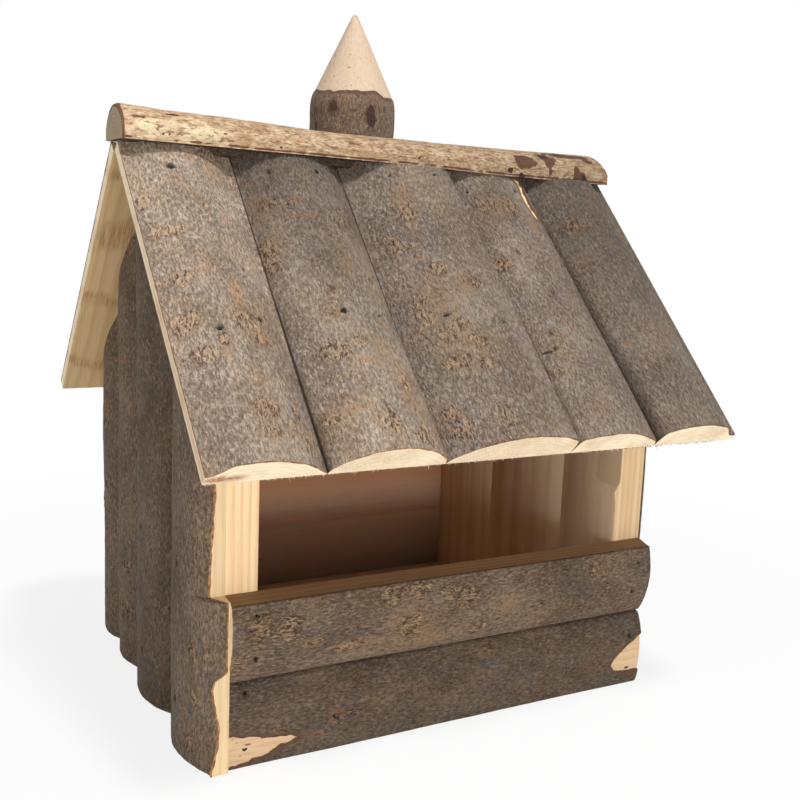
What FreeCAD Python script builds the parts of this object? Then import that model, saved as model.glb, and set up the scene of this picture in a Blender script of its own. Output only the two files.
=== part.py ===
"""Open-fronted birdhouse feeder clad in half-log slabs with the bark left on.

Millimetres and degrees. +Z is up, +Y is the back of the house and the ridge runs along X.
The origin lies on the ground under the ridge, midway between the side walls.
"""

import FreeCAD, Part
import math
import os
import Sketcher

Vector = FreeCAD.Vector

doc = FreeCAD.newDocument("birdhouse_feeder")

# Driving dimensions of the sawn carcass, the roof, the trim and the fasteners
SIZES = {
    "house_width": 212.0,
    "board_thickness": 14.0,
    "floor_thickness": 12.0,
    "front_depth": 76.2,
    "rear_depth": 87.0,
    "side_front_width": 43.5,
    "side_middle_width": 64.5,
    "back_lower_height": 46.0,
    "back_middle_height": 50.0,
    "front_lower_height": 35.9,
    "front_upper_height": 35.2,
    "front_lap": 7.0,
    "ridge_height": 245.5,
    "roof_pitch": 47.4,
    "roof_length": 162.0,
    "roof_overhang": 21.0,
    "roof_right_overhang_top": 14.4,
    "roof_right_overhang_eave": 20.1,
    "roof_thinning": 5.5,
    "ridge_slot": 2.0,
    "ridge_beam_width": 28.0,
    "ridge_beam_depth": 36.0,
    "purlin_width": 24.0,
    "purlin_depth": 20.0,
    "purlin_station": 100.0,
    "cap_width": 27.0,
    "cap_height": 15.0,
    "cap_log_radius": 14.0,
    "cap_overhang": 2.5,
    "cap_right_overhang": 4.1,
    "cap_rise": 0.5,
    "cap_tilt": 1.1,
    "chimney_radius": 21.1,
    "chimney_shift": -2.5,
    "chimney_shoulder": 281.0,
    "chimney_tip": 320.0,
    "chimney_clearance": 0.3,
    "brad_length": 18.0,
    "brad_radius": 0.8,
    "brad_head_radius": 1.2,
    "brad_head": 0.8,
    "brad_point": 2.0,
    "brad_set": 1.0,
    "nail_length": 30.0,
    "nail_radius": 1.0,
    "nail_head_radius": 2.2,
    "nail_head": 1.0,
    "nail_point": 2.5,
    "screw_length": 40.0,
    "screw_radius": 2.0,
    "screw_head_radius": 3.8,
    "screw_head": 2.5,
    "screw_point": 5.0,
    "hole_clearance": 0.1,
    "brad_edge": 8.0,
    "ridge_brad_row": 17.0,
    "slab_brad_low": 22.0,
    "slab_brad_high": 80.0,
    "beam_nail_drop": 28.0,
    "purlin_nail_depth": 14.0,
    "cap_nail_inset": 15.0,
}

# Half-log slabs: thickness at the crown and at the thinner edge, how far the crown lies from the
# middle of the width, and the width; a slab with no width takes what the others of its row leave
ROOF_COLUMNS = ("crown", "edge", "crown_shift", "top_width", "eave_width")
ROOF_SLABS = {
    "roof_front_slab_1": (13.8, 1.6, -3.8, 47.5, 48.2),
    "roof_front_slab_2": (15.2, 3.6, 0.0, 51.3, 51.1),
    "roof_front_slab_3": (17.0, 0.4, 6.0),
    "roof_front_slab_4": (13.8, 6.0, -2.0, 44.8, 46.0),
    "roof_front_slab_5": (15.7, 6.7, -1.3, 47.7, 46.4),
    "roof_rear_slab_1": (13.0, 5.5, 0.0, 48.0, 49.0),
    "roof_rear_slab_2": (14.0, 5.9, 0.0, 50.0, 51.0),
    "roof_rear_slab_3": (16.0, 5.7, 0.0),
    "roof_rear_slab_4": (14.0, 6.2, 0.0, 49.0, 50.0),
    "roof_rear_slab_5": (13.0, 6.4, 0.0, 46.4, 46.2),
}
FRONT_COLUMNS = ("crown", "edge", "crown_shift")
FRONT_SLABS = {
    "front_slab_lower": (8.0, 3.4, -1.8),
    "front_slab_upper": (10.5, 3.5, 5.0),
}
SIDE_COLUMNS = ("crown", "edge", "crown_shift", "width")
SIDE_SLABS = {
    "left_slab_1": (12.9, 3.3, -2.4, 58.0),
    "left_slab_2": (11.9, 4.0, 0.0, 52.0),
    "left_slab_3": (8.5, 3.5, 0.0, 40.5),
    "left_slab_4": (7.0, 2.8, 0.0),
    "right_slab_1": (10.0, 1.5, 1.8, 46.0),
    "right_slab_2": (12.0, 4.0, 0.0, 50.0),
    "right_slab_3": (10.5, 3.5, 0.0, 45.0),
    "right_slab_4": (8.0, 3.0, 0.0),
}
SLAB_TABLES = ((ROOF_SLABS, ROOF_COLUMNS), (FRONT_SLABS, FRONT_COLUMNS), (SIDE_SLABS, SIDE_COLUMNS))
for table, columns in SLAB_TABLES:
    for slab, numbers in table.items():
        SIZES.update({f"{slab}_{column}": number for column, number in zip(columns, numbers)})

ROOF_SLAB_COUNT = 5
SIDE_SLAB_COUNT = 4
CAP_NAIL_COUNT = 4

sheet = doc.addObject("Spreadsheet::Sheet", "sizes")
for row, (alias, number) in enumerate(SIZES.items(), start=1):
    sheet.set(f"A{row}", alias)
    sheet.set(f"B{row}", str(number))
    sheet.setAlias(f"B{row}", alias)
doc.recompute()

# Places worked out from the driving dimensions, as expressions
HALF_WIDTH = "(sizes.house_width / 2)"
INNER_HALF = "(sizes.house_width / 2 - sizes.board_thickness)"
BACK_FACE = "(sizes.rear_depth + sizes.board_thickness)"
FRONT_TOP = "(sizes.front_lower_height + sizes.front_upper_height)"
ROOF_LEFT = "(-sizes.house_width / 2 - sizes.roof_overhang)"
CHIMNEY_BACK = "(sizes.cap_width / 2 + sizes.chimney_clearance + sizes.chimney_radius)"
CAP_SEAT = "(sizes.ridge_height + sizes.cap_rise)"

plain = {}
finished = {}


def size(alias):
    """The number that the sheet holds under an alias."""
    return float(getattr(sheet, alias))


def place(x="0", y="0", z="0", axis="0; 0; 1", angle="0"):
    """A placement expression: a point, then a turn about an axis through it."""
    return f"placement(vector({x}; {y}; {z}); rotation(vector({axis}); {angle}))"


def primitive(kind, name, placement, **sizes):
    """A solid primitive whose sizes and placement are bound to the sheet."""
    item = doc.addObject(f"Part::{kind}", name)
    for prop, expression in sizes.items():
        item.setExpression(prop, expression)
    item.setExpression("Placement", placement)
    return item


def common(name, *items):
    """The solid that all the items share."""
    result = doc.addObject("Part::MultiCommon", name)
    result.Shapes = list(items)
    return result


def cut(name, base, tool):
    """The base with the tool taken away."""
    result = doc.addObject("Part::Cut", name)
    result.Base = base
    result.Tool = tool
    return result


def outline(body, name, points):
    """A closed sketch of straight runs on the body's XZ plane, each corner bound to the sheet."""
    sketch = body.newObject("Sketcher::SketchObject", name)
    plane = next(item for item in body.Origin.OriginFeatures if item.Role == "XZ_Plane")
    sketch.AttachmentSupport = [(plane, "")]
    sketch.MapMode = "FlatFace"
    count = len(points)
    turns = [2 * math.pi * i / count for i in range(count)]
    corners = [Vector(math.cos(turn), math.sin(turn), 0) for turn in turns]
    for i in range(count):
        sketch.addGeometry(Part.LineSegment(corners[i], corners[(i + 1) % count]), False)
    for i in range(count):
        sketch.addConstraint(Sketcher.Constraint("Coincident", i, 2, (i + 1) % count, 1))
    for i, (across, up) in enumerate(points):
        for kind, expression, axis in (("DistanceX", across, -2), ("DistanceY", up, -1)):
            if expression == "0":
                sketch.addConstraint(Sketcher.Constraint("PointOnObject", i, 1, axis))
            else:
                index = sketch.addConstraint(Sketcher.Constraint(kind, -1, 1, i, 1, 1.0))
                sketch.setExpression(f"Constraints[{index}]", expression)
    return sketch


def turned(name, points):
    """A body turned about its upright axis from a half outline of (radius, height)."""
    body = doc.addObject("PartDesign::Body", name)
    sketch = outline(body, f"{name}_outline", points)
    revolution = body.newObject("PartDesign::Revolution", f"{name}_turning")
    revolution.Profile = sketch
    revolution.ReferenceAxis = (sketch, ["V_Axis"])
    revolution.Angle = 360
    return body


# The triangular room under both roof planes, from wall to wall and beyond
roof_room = primitive(
    "Wedge", "roof_room", place(axis="1; 1; 1", angle="120"),
    Xmin="-sizes.ridge_height / tan(sizes.roof_pitch)", Xmax="sizes.ridge_height / tan(sizes.roof_pitch)",
    X2min="0", X2max="0", Ymin="0", Ymax="sizes.ridge_height",
    Zmin="-sizes.house_width", Zmax="sizes.house_width",
    Z2min="-sizes.house_width", Z2max="sizes.house_width")


def board(label, x, y, z, length, width, height):
    """A sawn board, its top cut to the roof planes where it reaches them."""
    blank = primitive("Box", f"{label}_blank", place(x, y, z), Length=length, Width=width, Height=height)
    plain[label] = common(f"{label}_cut", blank, roof_room)


def log_radius(label, width):
    """The radius of the log that gives a slab its crown and its thinner edge over its width."""
    rise = f"(sizes.{label}_crown - sizes.{label}_edge)"
    half = f"({width} / 2 + abs(sizes.{label}_crown_shift))"
    return f"(({half} * {half} + {rise} * {rise}) / (2 * {rise}))"


def half_log(label, blank, log_place, radius, height):
    """A slab sawn from a log: what the slab's blank and the round log share."""
    log = primitive("Cylinder", f"{label}_log", log_place, Radius=radius, Height=height)
    return common(f"{label}_slab", blank, log)


# Carcass: side walls of three upright boards, back wall of three level boards, floor
for side, x in (("left", f"-{HALF_WIDTH}"), ("right", INNER_HALF)):
    start = "-sizes.front_depth"
    rest = "sizes.front_depth + sizes.rear_depth - sizes.side_front_width - sizes.side_middle_width"
    widths = {"front": "sizes.side_front_width", "middle": "sizes.side_middle_width", "rear": rest}
    for name, width in widths.items():
        board(f"{side}_wall_{name}_board", x, start, "0",
              "sizes.board_thickness", width, "sizes.ridge_height")
        start = f"{start} + {width}"

base = "0"
for name, height in (("lower", "sizes.back_lower_height"), ("middle", "sizes.back_middle_height"),
                     ("upper", "sizes.ridge_height")):
    board(f"back_board_{name}", f"-{HALF_WIDTH}", "sizes.rear_depth", base,
          "sizes.house_width", "sizes.board_thickness", height)
    base = f"{base} + {height}"

board("floor_board", f"-{INNER_HALF}", "-sizes.front_depth", "0",
      f"2 * {INNER_HALF}", "sizes.front_depth + sizes.rear_depth", "sizes.floor_thickness")

# Roof timbers between the side walls: a ridge beam and a purlin under each slope
board("ridge_beam", f"-{INNER_HALF}", "-sizes.ridge_beam_width / 2",
      "sizes.ridge_height - sizes.ridge_beam_depth",
      f"2 * {INNER_HALF}", "sizes.ridge_beam_width", "sizes.ridge_beam_depth")
for name, sign in (("front", "-"), ("rear", "")):
    turn = "sizes.roof_pitch" if name == "front" else "-sizes.roof_pitch"
    along = f"({sign}sizes.purlin_station - sizes.purlin_width / 2)"
    plain[f"{name}_purlin"] = primitive(
        "Box", f"{name}_purlin_blank",
        place(f"-{INNER_HALF}",
              f"{along} * cos({turn}) + sizes.purlin_depth * sin({turn})",
              f"sizes.ridge_height + {along} * sin({turn}) - sizes.purlin_depth * cos({turn})",
              "1; 0; 0", turn),
        Length=f"2 * {INNER_HALF}", Width="sizes.purlin_width", Height="sizes.purlin_depth")

# Cladding: upright half-logs on both side walls, trimmed to the roof
for side, outward, lap in (("left", -1, " - sizes.front_lap"), ("right", 1, "")):
    start = f"-sizes.front_depth{lap}"
    for number in range(1, SIDE_SLAB_COUNT + 1):
        label = f"{side}_slab_{number}"
        crown = f"sizes.{label}_crown"
        width = f"sizes.{label}_width" if number < SIDE_SLAB_COUNT else f"({BACK_FACE} - ({start}))"
        blank = primitive(
            "Box", f"{label}_blank",
            place(f"-{HALF_WIDTH} - {crown}" if outward < 0 else HALF_WIDTH, start),
            Length=crown, Width=width, Height="sizes.ridge_height")
        radius = log_radius(label, width)
        axis_x = f"{outward} * ({HALF_WIDTH} + {crown} - {radius})"
        axis_y = f"{start} + {width} / 2 + sizes.{label}_crown_shift"
        slab = half_log(label, blank, place(axis_x, axis_y), radius, "sizes.ridge_height")
        plain[label] = common(f"{label}_cut", slab, roof_room)
        start = f"{start} + {width}"

# The first left slab laps the ends of the front slabs and is notched flush above them
notch = primitive(
    "Box", "left_slab_notch",
    place(f"-{HALF_WIDTH} - sizes.left_slab_1_crown", "-sizes.front_depth - sizes.front_lap", FRONT_TOP),
    Length="sizes.left_slab_1_crown", Width="sizes.front_lap", Height="sizes.ridge_height")
plain["left_slab_1"] = cut("left_slab_1_notched", plain["left_slab_1"], notch)

# Front: two level half-logs across the front edges of the side walls
base = "0"
for name in ("lower", "upper"):
    label = f"front_slab_{name}"
    crown = f"sizes.{label}_crown"
    height = f"sizes.front_{name}_height"
    blank = primitive("Box", f"{label}_blank", place(f"-{HALF_WIDTH}", f"-sizes.front_depth - {crown}", base),
                      Length="sizes.house_width", Width=crown, Height=height)
    radius = log_radius(label, height)
    log_place = place(f"-{HALF_WIDTH}", f"-sizes.front_depth - {crown} + {radius}",
                      f"{base} + {height} / 2 + sizes.{label}_crown_shift", "0; 1; 0", "90")
    plain[label] = half_log(label, blank, log_place, radius, "sizes.house_width")
    base = f"{base} + {height}"

# Roof: five half-logs down each slope, thinner towards the ridge and trimmed level under the cap
seat_block = primitive(
    "Box", "seat_block",
    place("-sizes.house_width * cos(sizes.cap_tilt)", "-sizes.house_width / 2",
          f"{CAP_SEAT} + sizes.house_width * sin(sizes.cap_tilt)", "0; 1; 0", "sizes.cap_tilt"),
    Length="2 * sizes.house_width", Width="sizes.house_width", Height="sizes.house_width")


def slab_edges(slope, end):
    """Where the slabs of a slope meet at one end, from left to right; the middle one takes what is left."""
    middle = ROOF_SLAB_COUNT // 2 + 1
    lefts = [ROOF_LEFT]
    for number in range(1, middle):
        lefts.append(f"({lefts[-1]} + sizes.roof_{slope}_slab_{number}_{end}_width)")
    rights = [f"({HALF_WIDTH} + sizes.roof_right_overhang_{end})"]
    for number in range(ROOF_SLAB_COUNT, middle, -1):
        rights.append(f"({rights[-1]} - sizes.roof_{slope}_slab_{number}_{end}_width)")
    return lefts + rights[::-1]


roof_blanks = {}
for name, downhill in (("front", -1), ("rear", 1)):
    top_edges = slab_edges(name, "top")
    eave_edges = slab_edges(name, "eave")
    turn = f"{-downhill} * sizes.roof_pitch"
    for number in range(1, ROOF_SLAB_COUNT + 1):
        label = f"roof_{name}_slab_{number}"
        top_left, top_right = top_edges[number - 1:number + 1]
        eave_left, eave_right = eave_edges[number - 1:number + 1]
        ends = {"top": (top_left, top_right, "sizes.ridge_slot"),
                "eave": (eave_left, eave_right, "sizes.roof_length")}
        low, high = ("eave", "top") if downhill < 0 else ("top", "eave")
        crown = f"sizes.{label}_crown"
        blank = primitive(
            "Wedge", f"{label}_blank", place(z="sizes.ridge_height", axis="1; 0; 0", angle=turn),
            Xmin=ends[low][0], Xmax=ends[low][1], Ymin=f"{downhill} * {ends[low][2]}",
            X2min=ends[high][0], X2max=ends[high][1], Ymax=f"{downhill} * {ends[high][2]}",
            Zmin="0", Zmax=crown, Z2min="0", Z2max=crown)
        roof_blanks[label] = blank
        radius = log_radius(label, f"({eave_right} - {eave_left})")
        sink = f"({crown} - sizes.roof_thinning - {radius})"
        lean = "(atan(sizes.roof_thinning / sizes.roof_length) / 1 deg)"
        axis_x = f"({top_left} + {top_right} + {eave_left} + {eave_right}) / 4 + sizes.{label}_crown_shift"
        log_place = place(axis_x, f"{downhill} * {sink} * sin(sizes.roof_pitch)",
                          f"sizes.ridge_height + {sink} * cos(sizes.roof_pitch)", "1; 0; 0",
                          f"{-downhill} * (90 + sizes.roof_pitch - {lean})")
        slab = half_log(label, blank, log_place, radius, "2 * sizes.roof_length")
        plain[label] = cut(f"{label}_trimmed", slab, seat_block)

# Ridge cap: a half-round branch lying level on the trimmed slab tops
CAP_LEFT = f"({ROOF_LEFT} - sizes.cap_overhang)"
CAP_LENGTH = f"({HALF_WIDTH} + sizes.roof_right_overhang_top + sizes.cap_right_overhang - {CAP_LEFT})"


def at_cap_end(up, across, turn):
    """A place so far above the cap's seat at its left end, turned about the Y direction."""
    return place(f"{CAP_LEFT} * cos(sizes.cap_tilt) + ({up}) * sin(sizes.cap_tilt)", across,
                 f"{CAP_SEAT} - {CAP_LEFT} * sin(sizes.cap_tilt) + ({up}) * cos(sizes.cap_tilt)",
                 "0; 1; 0", turn)


cap_blank = primitive(
    "Box", "ridge_cap_blank", at_cap_end("0", "-sizes.cap_width / 2", "sizes.cap_tilt"),
    Length=CAP_LENGTH, Width="sizes.cap_width", Height="sizes.cap_height")
plain["ridge_cap"] = half_log(
    "ridge_cap", cap_blank,
    at_cap_end("sizes.cap_height - sizes.cap_log_radius", "0", "90 + sizes.cap_tilt"),
    "sizes.cap_log_radius", CAP_LENGTH)

# Chimney: a sharpened log just behind the cap, scribed to the rear slope
chimney = turned("chimney_log_round", (
    ("0", "sizes.chimney_radius"), ("sizes.chimney_radius", "sizes.chimney_radius"),
    ("sizes.chimney_radius", "sizes.chimney_shoulder"), ("0", "sizes.chimney_tip")))
chimney.setExpression("Placement", place("sizes.chimney_shift", CHIMNEY_BACK))
plain["chimney_log"] = cut("chimney_log_foot", chimney, roof_room)
for number in range(2, ROOF_SLAB_COUNT):
    plain["chimney_log"] = cut(f"chimney_log_scribed_{number}", plain["chimney_log"],
                               plain[f"roof_rear_slab_{number}"])
doc.recompute()


def fastener(name, loose):
    """A turned brad, nail or screw, head at its origin and point downwards; loose widens it to its hole."""
    gap = " + sizes.hole_clearance" if loose else ""
    deeper = " - sizes.hole_clearance" if loose else ""
    above = f"sizes.{name}_length" if loose else "0"
    head = f"sizes.{name}_head_radius{gap}"
    shank = f"sizes.{name}_radius{gap}"
    return turned(f"{name}_hole" if loose else name, (
        ("0", above), (head, above), (head, f"-sizes.{name}_head"), (shank, f"-sizes.{name}_head"),
        (shank, f"sizes.{name}_point - sizes.{name}_length"), ("0", f"-sizes.{name}_length{deeper}")))


FASTENERS = {name: (fastener(name, False), fastener(name, True)) for name in ("brad", "nail", "screw")}
doc.recompute()

holes = {}


def moved(shape, spot):
    """A copy of a shape at another place."""
    copy = shape.copy()
    copy.Placement = spot.multiply(copy.Placement)
    return copy


def driven(label, kind, drives, sink=0.0):
    """A group of equal fasteners, each driven along a direction from where it enters a piece."""
    reach = size("house_width") + size("ridge_height")
    solid, hole = FASTENERS[kind]
    places = []
    for piece, point, direction in drives:
        line = Part.makeLine(point - direction * reach, point + direction * reach)
        entry = min((vertex.Point for vertex in plain[piece].Shape.common(line).Vertexes), key=direction.dot)
        turn = FreeCAD.Rotation(Vector(0, 0, -1), direction)
        places.append(FreeCAD.Placement(entry + direction * sink, turn))
    group = doc.addObject("Part::Feature", f"{label}_group")
    group.Shape = Part.makeCompound([moved(solid.Shape, spot) for spot in places])
    finished[label] = group
    holes[label] = [moved(hole.Shape, spot) for spot in places]


# Where the fasteners go
width = size("house_width")
wall_line = (width - size("board_thickness")) / 2
pitch = math.radians(size("roof_pitch"))
across_wall = {"left": Vector(1, 0, 0), "right": Vector(-1, 0, 0)}


def on_slope(downhill, x, station, depth=0.0):
    """A point so far down a roof slope and so deep under its plane."""
    return Vector(x, downhill * (station * math.cos(pitch) - depth * math.sin(pitch)),
                  size("ridge_height") - station * math.sin(pitch) - depth * math.cos(pitch))


for name, downhill in (("front", -1), ("rear", 1)):
    inward = Vector(0, -downhill * math.sin(pitch), -math.cos(pitch))
    drives = []
    for number in range(1, ROOF_SLAB_COUNT + 1):
        label = f"roof_{name}_slab_{number}"
        blank = roof_blanks[label]
        low = (blank.Xmin.Value, blank.Xmax.Value)
        high = (blank.X2min.Value, blank.X2max.Value)
        top, eave = (high, low) if downhill < 0 else (low, high)
        for station in (size("ridge_brad_row"), size("purlin_station")):
            share = (station - size("ridge_slot")) / (size("roof_length") - size("ridge_slot"))
            left, right = (a + (b - a) * share for a, b in zip(top, eave))
            quarter = (right - left) / 4
            spots = [left + quarter, right - quarter]
            if number == 1:
                spots = [-wall_line, right - size("brad_edge")]
            if number == ROOF_SLAB_COUNT:
                spots = [left + size("brad_edge"), wall_line]
            drives += [(label, on_slope(downhill, x, station), inward) for x in spots]
    driven(f"roof_{name}_brads", "brad", drives, size("brad_set"))

for side, inward in across_wall.items():
    drives = []
    for number in range(1, SIDE_SLAB_COUNT + 1):
        label = f"{side}_slab_{number}"
        box = plain[label].Shape.BoundBox
        for row in ("low", "high"):
            drives.append((label, Vector(0, (box.YMin + box.YMax) / 2, size(f"slab_brad_{row}")), inward))
    driven(f"{side}_slab_brads", "brad", drives, size("brad_set"))

drives = []
for name in ("lower", "upper"):
    box = plain[f"front_slab_{name}"].Shape.BoundBox
    for x in (-wall_line, wall_line):
        for z in (box.ZMin + box.ZLength / 4, box.ZMax - box.ZLength / 4):
            drives.append((f"front_slab_{name}", Vector(x, 0, z), Vector(0, 1, 0)))
driven("front_slab_brads", "brad", drives, size("brad_set"))

drives = []
back_top = size("ridge_height") - (size("rear_depth") + size("board_thickness")) * math.tan(pitch)
for name in ("lower", "middle", "upper"):
    box = plain[f"back_board_{name}"].Shape.BoundBox
    quarter = (min(box.ZMax, back_top) - box.ZMin) / 4
    for x in (-wall_line, wall_line):
        for z in (box.ZMin + quarter, box.ZMin + 3 * quarter):
            drives.append((f"back_board_{name}", Vector(x, 0, z), Vector(0, -1, 0)))
driven("back_board_nails", "nail", drives)

drives = []
beam_drives = []
for side, inward in across_wall.items():
    for name in ("front", "middle", "rear"):
        label = f"{side}_wall_{name}_board"
        box = plain[label].Shape.BoundBox
        drives.append((label, Vector(0, (box.YMin + box.YMax) / 2, size("floor_thickness") / 2), inward))
    beam_spot = Vector(0, 0, size("ridge_height") - size("beam_nail_drop"))
    beam_drives.append((f"{side}_wall_middle_board", beam_spot, inward))
    for name, downhill in (("front", -1), ("rear", 1)):
        spot = on_slope(downhill, 0, size("purlin_station"), size("purlin_nail_depth"))
        beam_drives.append((f"{side}_wall_{name}_board", spot, inward))
driven("floor_nails", "nail", drives)
driven("beam_nails", "nail", beam_drives)

tilt = math.radians(size("cap_tilt"))
cap_run = width / 2 - size("board_thickness") - size("cap_nail_inset")
cap_down = Vector(-math.sin(tilt), 0, -math.cos(tilt))
driven("ridge_cap_nails", "nail", [
    ("ridge_cap", Vector(cap_run * (2 * i / (CAP_NAIL_COUNT - 1) - 1), 0, size("ridge_height")), cap_down)
    for i in range(CAP_NAIL_COUNT)])

chimney_back = size("cap_width") / 2 + size("chimney_clearance") + size("chimney_radius")
screw_station = chimney_back / math.cos(pitch) - size("screw_length") / 2 * math.tan(pitch)
driven("chimney_screw", "screw", [
    ("roof_rear_slab_3", on_slope(1, size("chimney_shift"), screw_station),
     Vector(0, math.sin(pitch), math.cos(pitch)))])


def drill(label, groups):
    """The finished piece: the plain one with a hole for each fastener of the groups that meets it."""
    shape = plain[label].Shape
    met = [hole for group in groups for hole in holes[group] if hole.BoundBox.intersect(shape.BoundBox)]
    tool = doc.addObject("Part::Feature", f"{label}_holes")
    tool.Shape = Part.makeCompound(met)
    finished[label] = cut(f"{label}_drilled", plain[label], tool) if met else plain[label]


# Which fasteners pass into which pieces, by how the piece's name starts
WALL_GROUPS = ("roof_front_brads", "roof_rear_brads", "front_slab_brads", "back_board_nails", "floor_nails",
               "beam_nails")
PASSED_BY = {
    "left_wall": WALL_GROUPS + ("left_slab_brads",),
    "right_wall": WALL_GROUPS + ("right_slab_brads",),
    "back_board": ("back_board_nails", "left_slab_brads", "right_slab_brads"),
    "floor_board": ("floor_nails",),
    "ridge_beam": ("roof_front_brads", "roof_rear_brads", "ridge_cap_nails", "beam_nails"),
    "front_purlin": ("roof_front_brads", "beam_nails"),
    "rear_purlin": ("roof_rear_brads", "beam_nails"),
    "left_slab": ("left_slab_brads",),
    "right_slab": ("right_slab_brads",),
    "front_slab": ("front_slab_brads",),
    "roof_front": ("roof_front_brads",),
    "roof_rear": ("roof_rear_brads", "chimney_screw"),
    "ridge_cap": ("ridge_cap_nails",),
    "chimney_log": ("chimney_screw",),
}
for label in plain:
    drill(label, next(groups for start, groups in PASSED_BY.items() if label.startswith(start)))
doc.recompute()

# Nothing is written unless every object is sound
broken = [item.Name for item in doc.Objects if "Invalid" in item.State or "Error" in item.State]
for label, item in finished.items():
    item.Label = label
    if item.Shape.isNull() or not item.Shape.isValid() or not item.Shape.Solids:
        broken.append(label)
if broken:
    raise RuntimeError(f"unsound: {', '.join(broken)}")

os.makedirs("parts", exist_ok=True)
for label, item in finished.items():
    item.Shape.exportStep(f"parts/{label}.step")
    print(label, len(item.Shape.Solids), "solid(s)", round(item.Shape.Volume, 1), "mm3")
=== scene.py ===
"""Looks of an open-fronted birdhouse feeder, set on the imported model.

The house is a sawn pine box clad in half-log slabs with the bark left on, under a gable roof of the same slabs.
A half-round branch caps the ridge and a sharpened log stands behind it as a chimney.
Sizes are in millimetres, +Z up, -Y out of the open front and X along the ridge. A piece turns into metres when
its points go into its mesh.
"""

import logging
import math
from dataclasses import dataclass, field
from enum import Enum
from typing import Callable, Mapping, Optional, Sequence, Union

import bpy
import numpy as np
from bpy.types import Material, NodeSocket, NodeTree
from mathutils import Matrix, Vector


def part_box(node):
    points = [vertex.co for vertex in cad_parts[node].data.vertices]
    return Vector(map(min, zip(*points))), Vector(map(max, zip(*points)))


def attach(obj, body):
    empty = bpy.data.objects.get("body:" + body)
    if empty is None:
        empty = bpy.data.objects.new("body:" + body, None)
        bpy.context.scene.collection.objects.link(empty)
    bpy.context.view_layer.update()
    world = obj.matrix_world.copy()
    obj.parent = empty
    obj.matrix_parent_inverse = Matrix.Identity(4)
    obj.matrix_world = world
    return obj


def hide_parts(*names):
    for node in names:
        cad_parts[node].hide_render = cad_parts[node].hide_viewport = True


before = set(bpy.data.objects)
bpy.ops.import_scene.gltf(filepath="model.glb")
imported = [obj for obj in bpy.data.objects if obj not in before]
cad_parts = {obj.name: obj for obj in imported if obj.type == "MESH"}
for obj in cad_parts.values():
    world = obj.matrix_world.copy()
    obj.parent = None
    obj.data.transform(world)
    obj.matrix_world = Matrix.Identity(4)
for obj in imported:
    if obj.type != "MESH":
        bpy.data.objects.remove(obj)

LOG = logging.getLogger("feeder")
MM = 0.001
THINNEST = 0.4
Array = np.ndarray
Tone = tuple[int, int, int]
Spot = tuple[float, float]
Skins = tuple[Material, ...]
Values = dict[str, Array]


def paint(tone: Tone) -> tuple[float, float, float, float]:
    """A tone of 0 to 255 per channel, as the linear colour that a socket takes."""
    red, green, blue = (((c / 255 + 0.055) / 1.055) ** 2.4 if c > 10 else c / 3295 for c in tone)
    return red, green, blue, 1.0


def step(value: Array, low: float, high: float) -> Array:
    """A smooth step from 0 at low to 1 at high."""
    share = np.clip((value - low) / (high - low), 0.0, 1.0)
    return share * share * (3.0 - 2.0 * share)


@dataclass(frozen=True)
class House:
    """The main sizes that the sub-assemblies share."""

    ridge: float = 245.5
    pitch: float = math.radians(47.4)
    half_width: float = 106.0
    front: float = -76.2
    sill: float = 71.1
    cap_tilt: float = math.radians(1.1)
    cap_seat: float = 246.0

    def roof_at(self, y: Array) -> Array:
        """The height of the roof boards' underside at a depth y."""
        return self.ridge - np.abs(y) * math.tan(self.pitch)

    def seat_at(self, x: Array) -> Array:
        """The height of the seat that the ridge cap lies on."""
        return self.cap_seat - x * math.tan(self.cap_tilt)


HOUSE = House()


class Ripple:
    """Smooth seeded noise over a plane, about -1 to 1."""

    COUNT = 256
    GAIN = 1.6
    SHIFT = (57.3, 31.7)

    def __init__(self, seed: int) -> None:
        """Draws the slopes of the noise.

        Args:
            seed: the number that the slopes come from.
        """
        source = np.random.RandomState(seed)
        self.order = source.permutation(self.COUNT)
        self.turn = source.uniform(0.0, 2.0 * math.pi, self.COUNT)

    def wave(self, x: Array, y: Array, period: float) -> Array:
        """One layer of noise.

        Args:
            x: places across.
            y: places along.
            period: the distance between two swells.

        Returns:
            The noise at each place.
        """
        u, v = x / period, y / period
        i, j = np.floor(u).astype(int), np.floor(v).astype(int)
        total = np.zeros_like(u)
        for p in (0, 1):
            for q in (0, 1):
                f, g = u - i - p, v - j - q
                turn = self.turn[self.order[(self.order[(i + p) % self.COUNT] + j + q) % self.COUNT]]
                share = (1.0 - step(np.abs(f), 0.0, 1.0)) * (1.0 - step(np.abs(g), 0.0, 1.0))
                total += share * (np.cos(turn) * f + np.sin(turn) * g)
        return self.GAIN * total

    def layers(self, x: Array, y: Array, period: float, count: int = 3) -> Array:
        """Layers of noise, each half as large and half as strong as the last, the first with this period."""
        right, down = self.SHIFT
        return sum(0.5 ** k * self.wave(x + right * k, y - down * k, period * 0.5 ** k) for k in range(count))


def maths(operation: str, swapped: bool = False) -> Callable[["Wire", "Value"], "Wire"]:
    """A method that puts a Math node on a wire.

    Args:
        operation: what the node does.
        swapped: whether the other value comes first.

    Returns:
        The method.
    """
    def method(self: "Wire", other: "Value") -> "Wire":
        """A Math node on this value and another."""
        pair = (other, self) if swapped else (self, other)
        return self.bench.node("ShaderNodeMath", {"operation": operation}, dict(enumerate(pair)))
    return method


class Wire:
    """A node's output that takes part in sums, so that 1 - mask adds its own Math node."""

    def __init__(self, bench: "Bench", socket: NodeSocket) -> None:
        """Keeps the socket and the bench that new nodes go on."""
        self.bench, self.socket = bench, socket

    __add__ = __radd__ = maths("ADD")
    __sub__ = maths("SUBTRACT")
    __rsub__ = maths("SUBTRACT", True)
    __mul__ = __rmul__ = maths("MULTIPLY")
    __truediv__ = maths("DIVIDE")
    __mod__ = maths("FLOORED_MODULO")
    __pow__ = maths("POWER")


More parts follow.
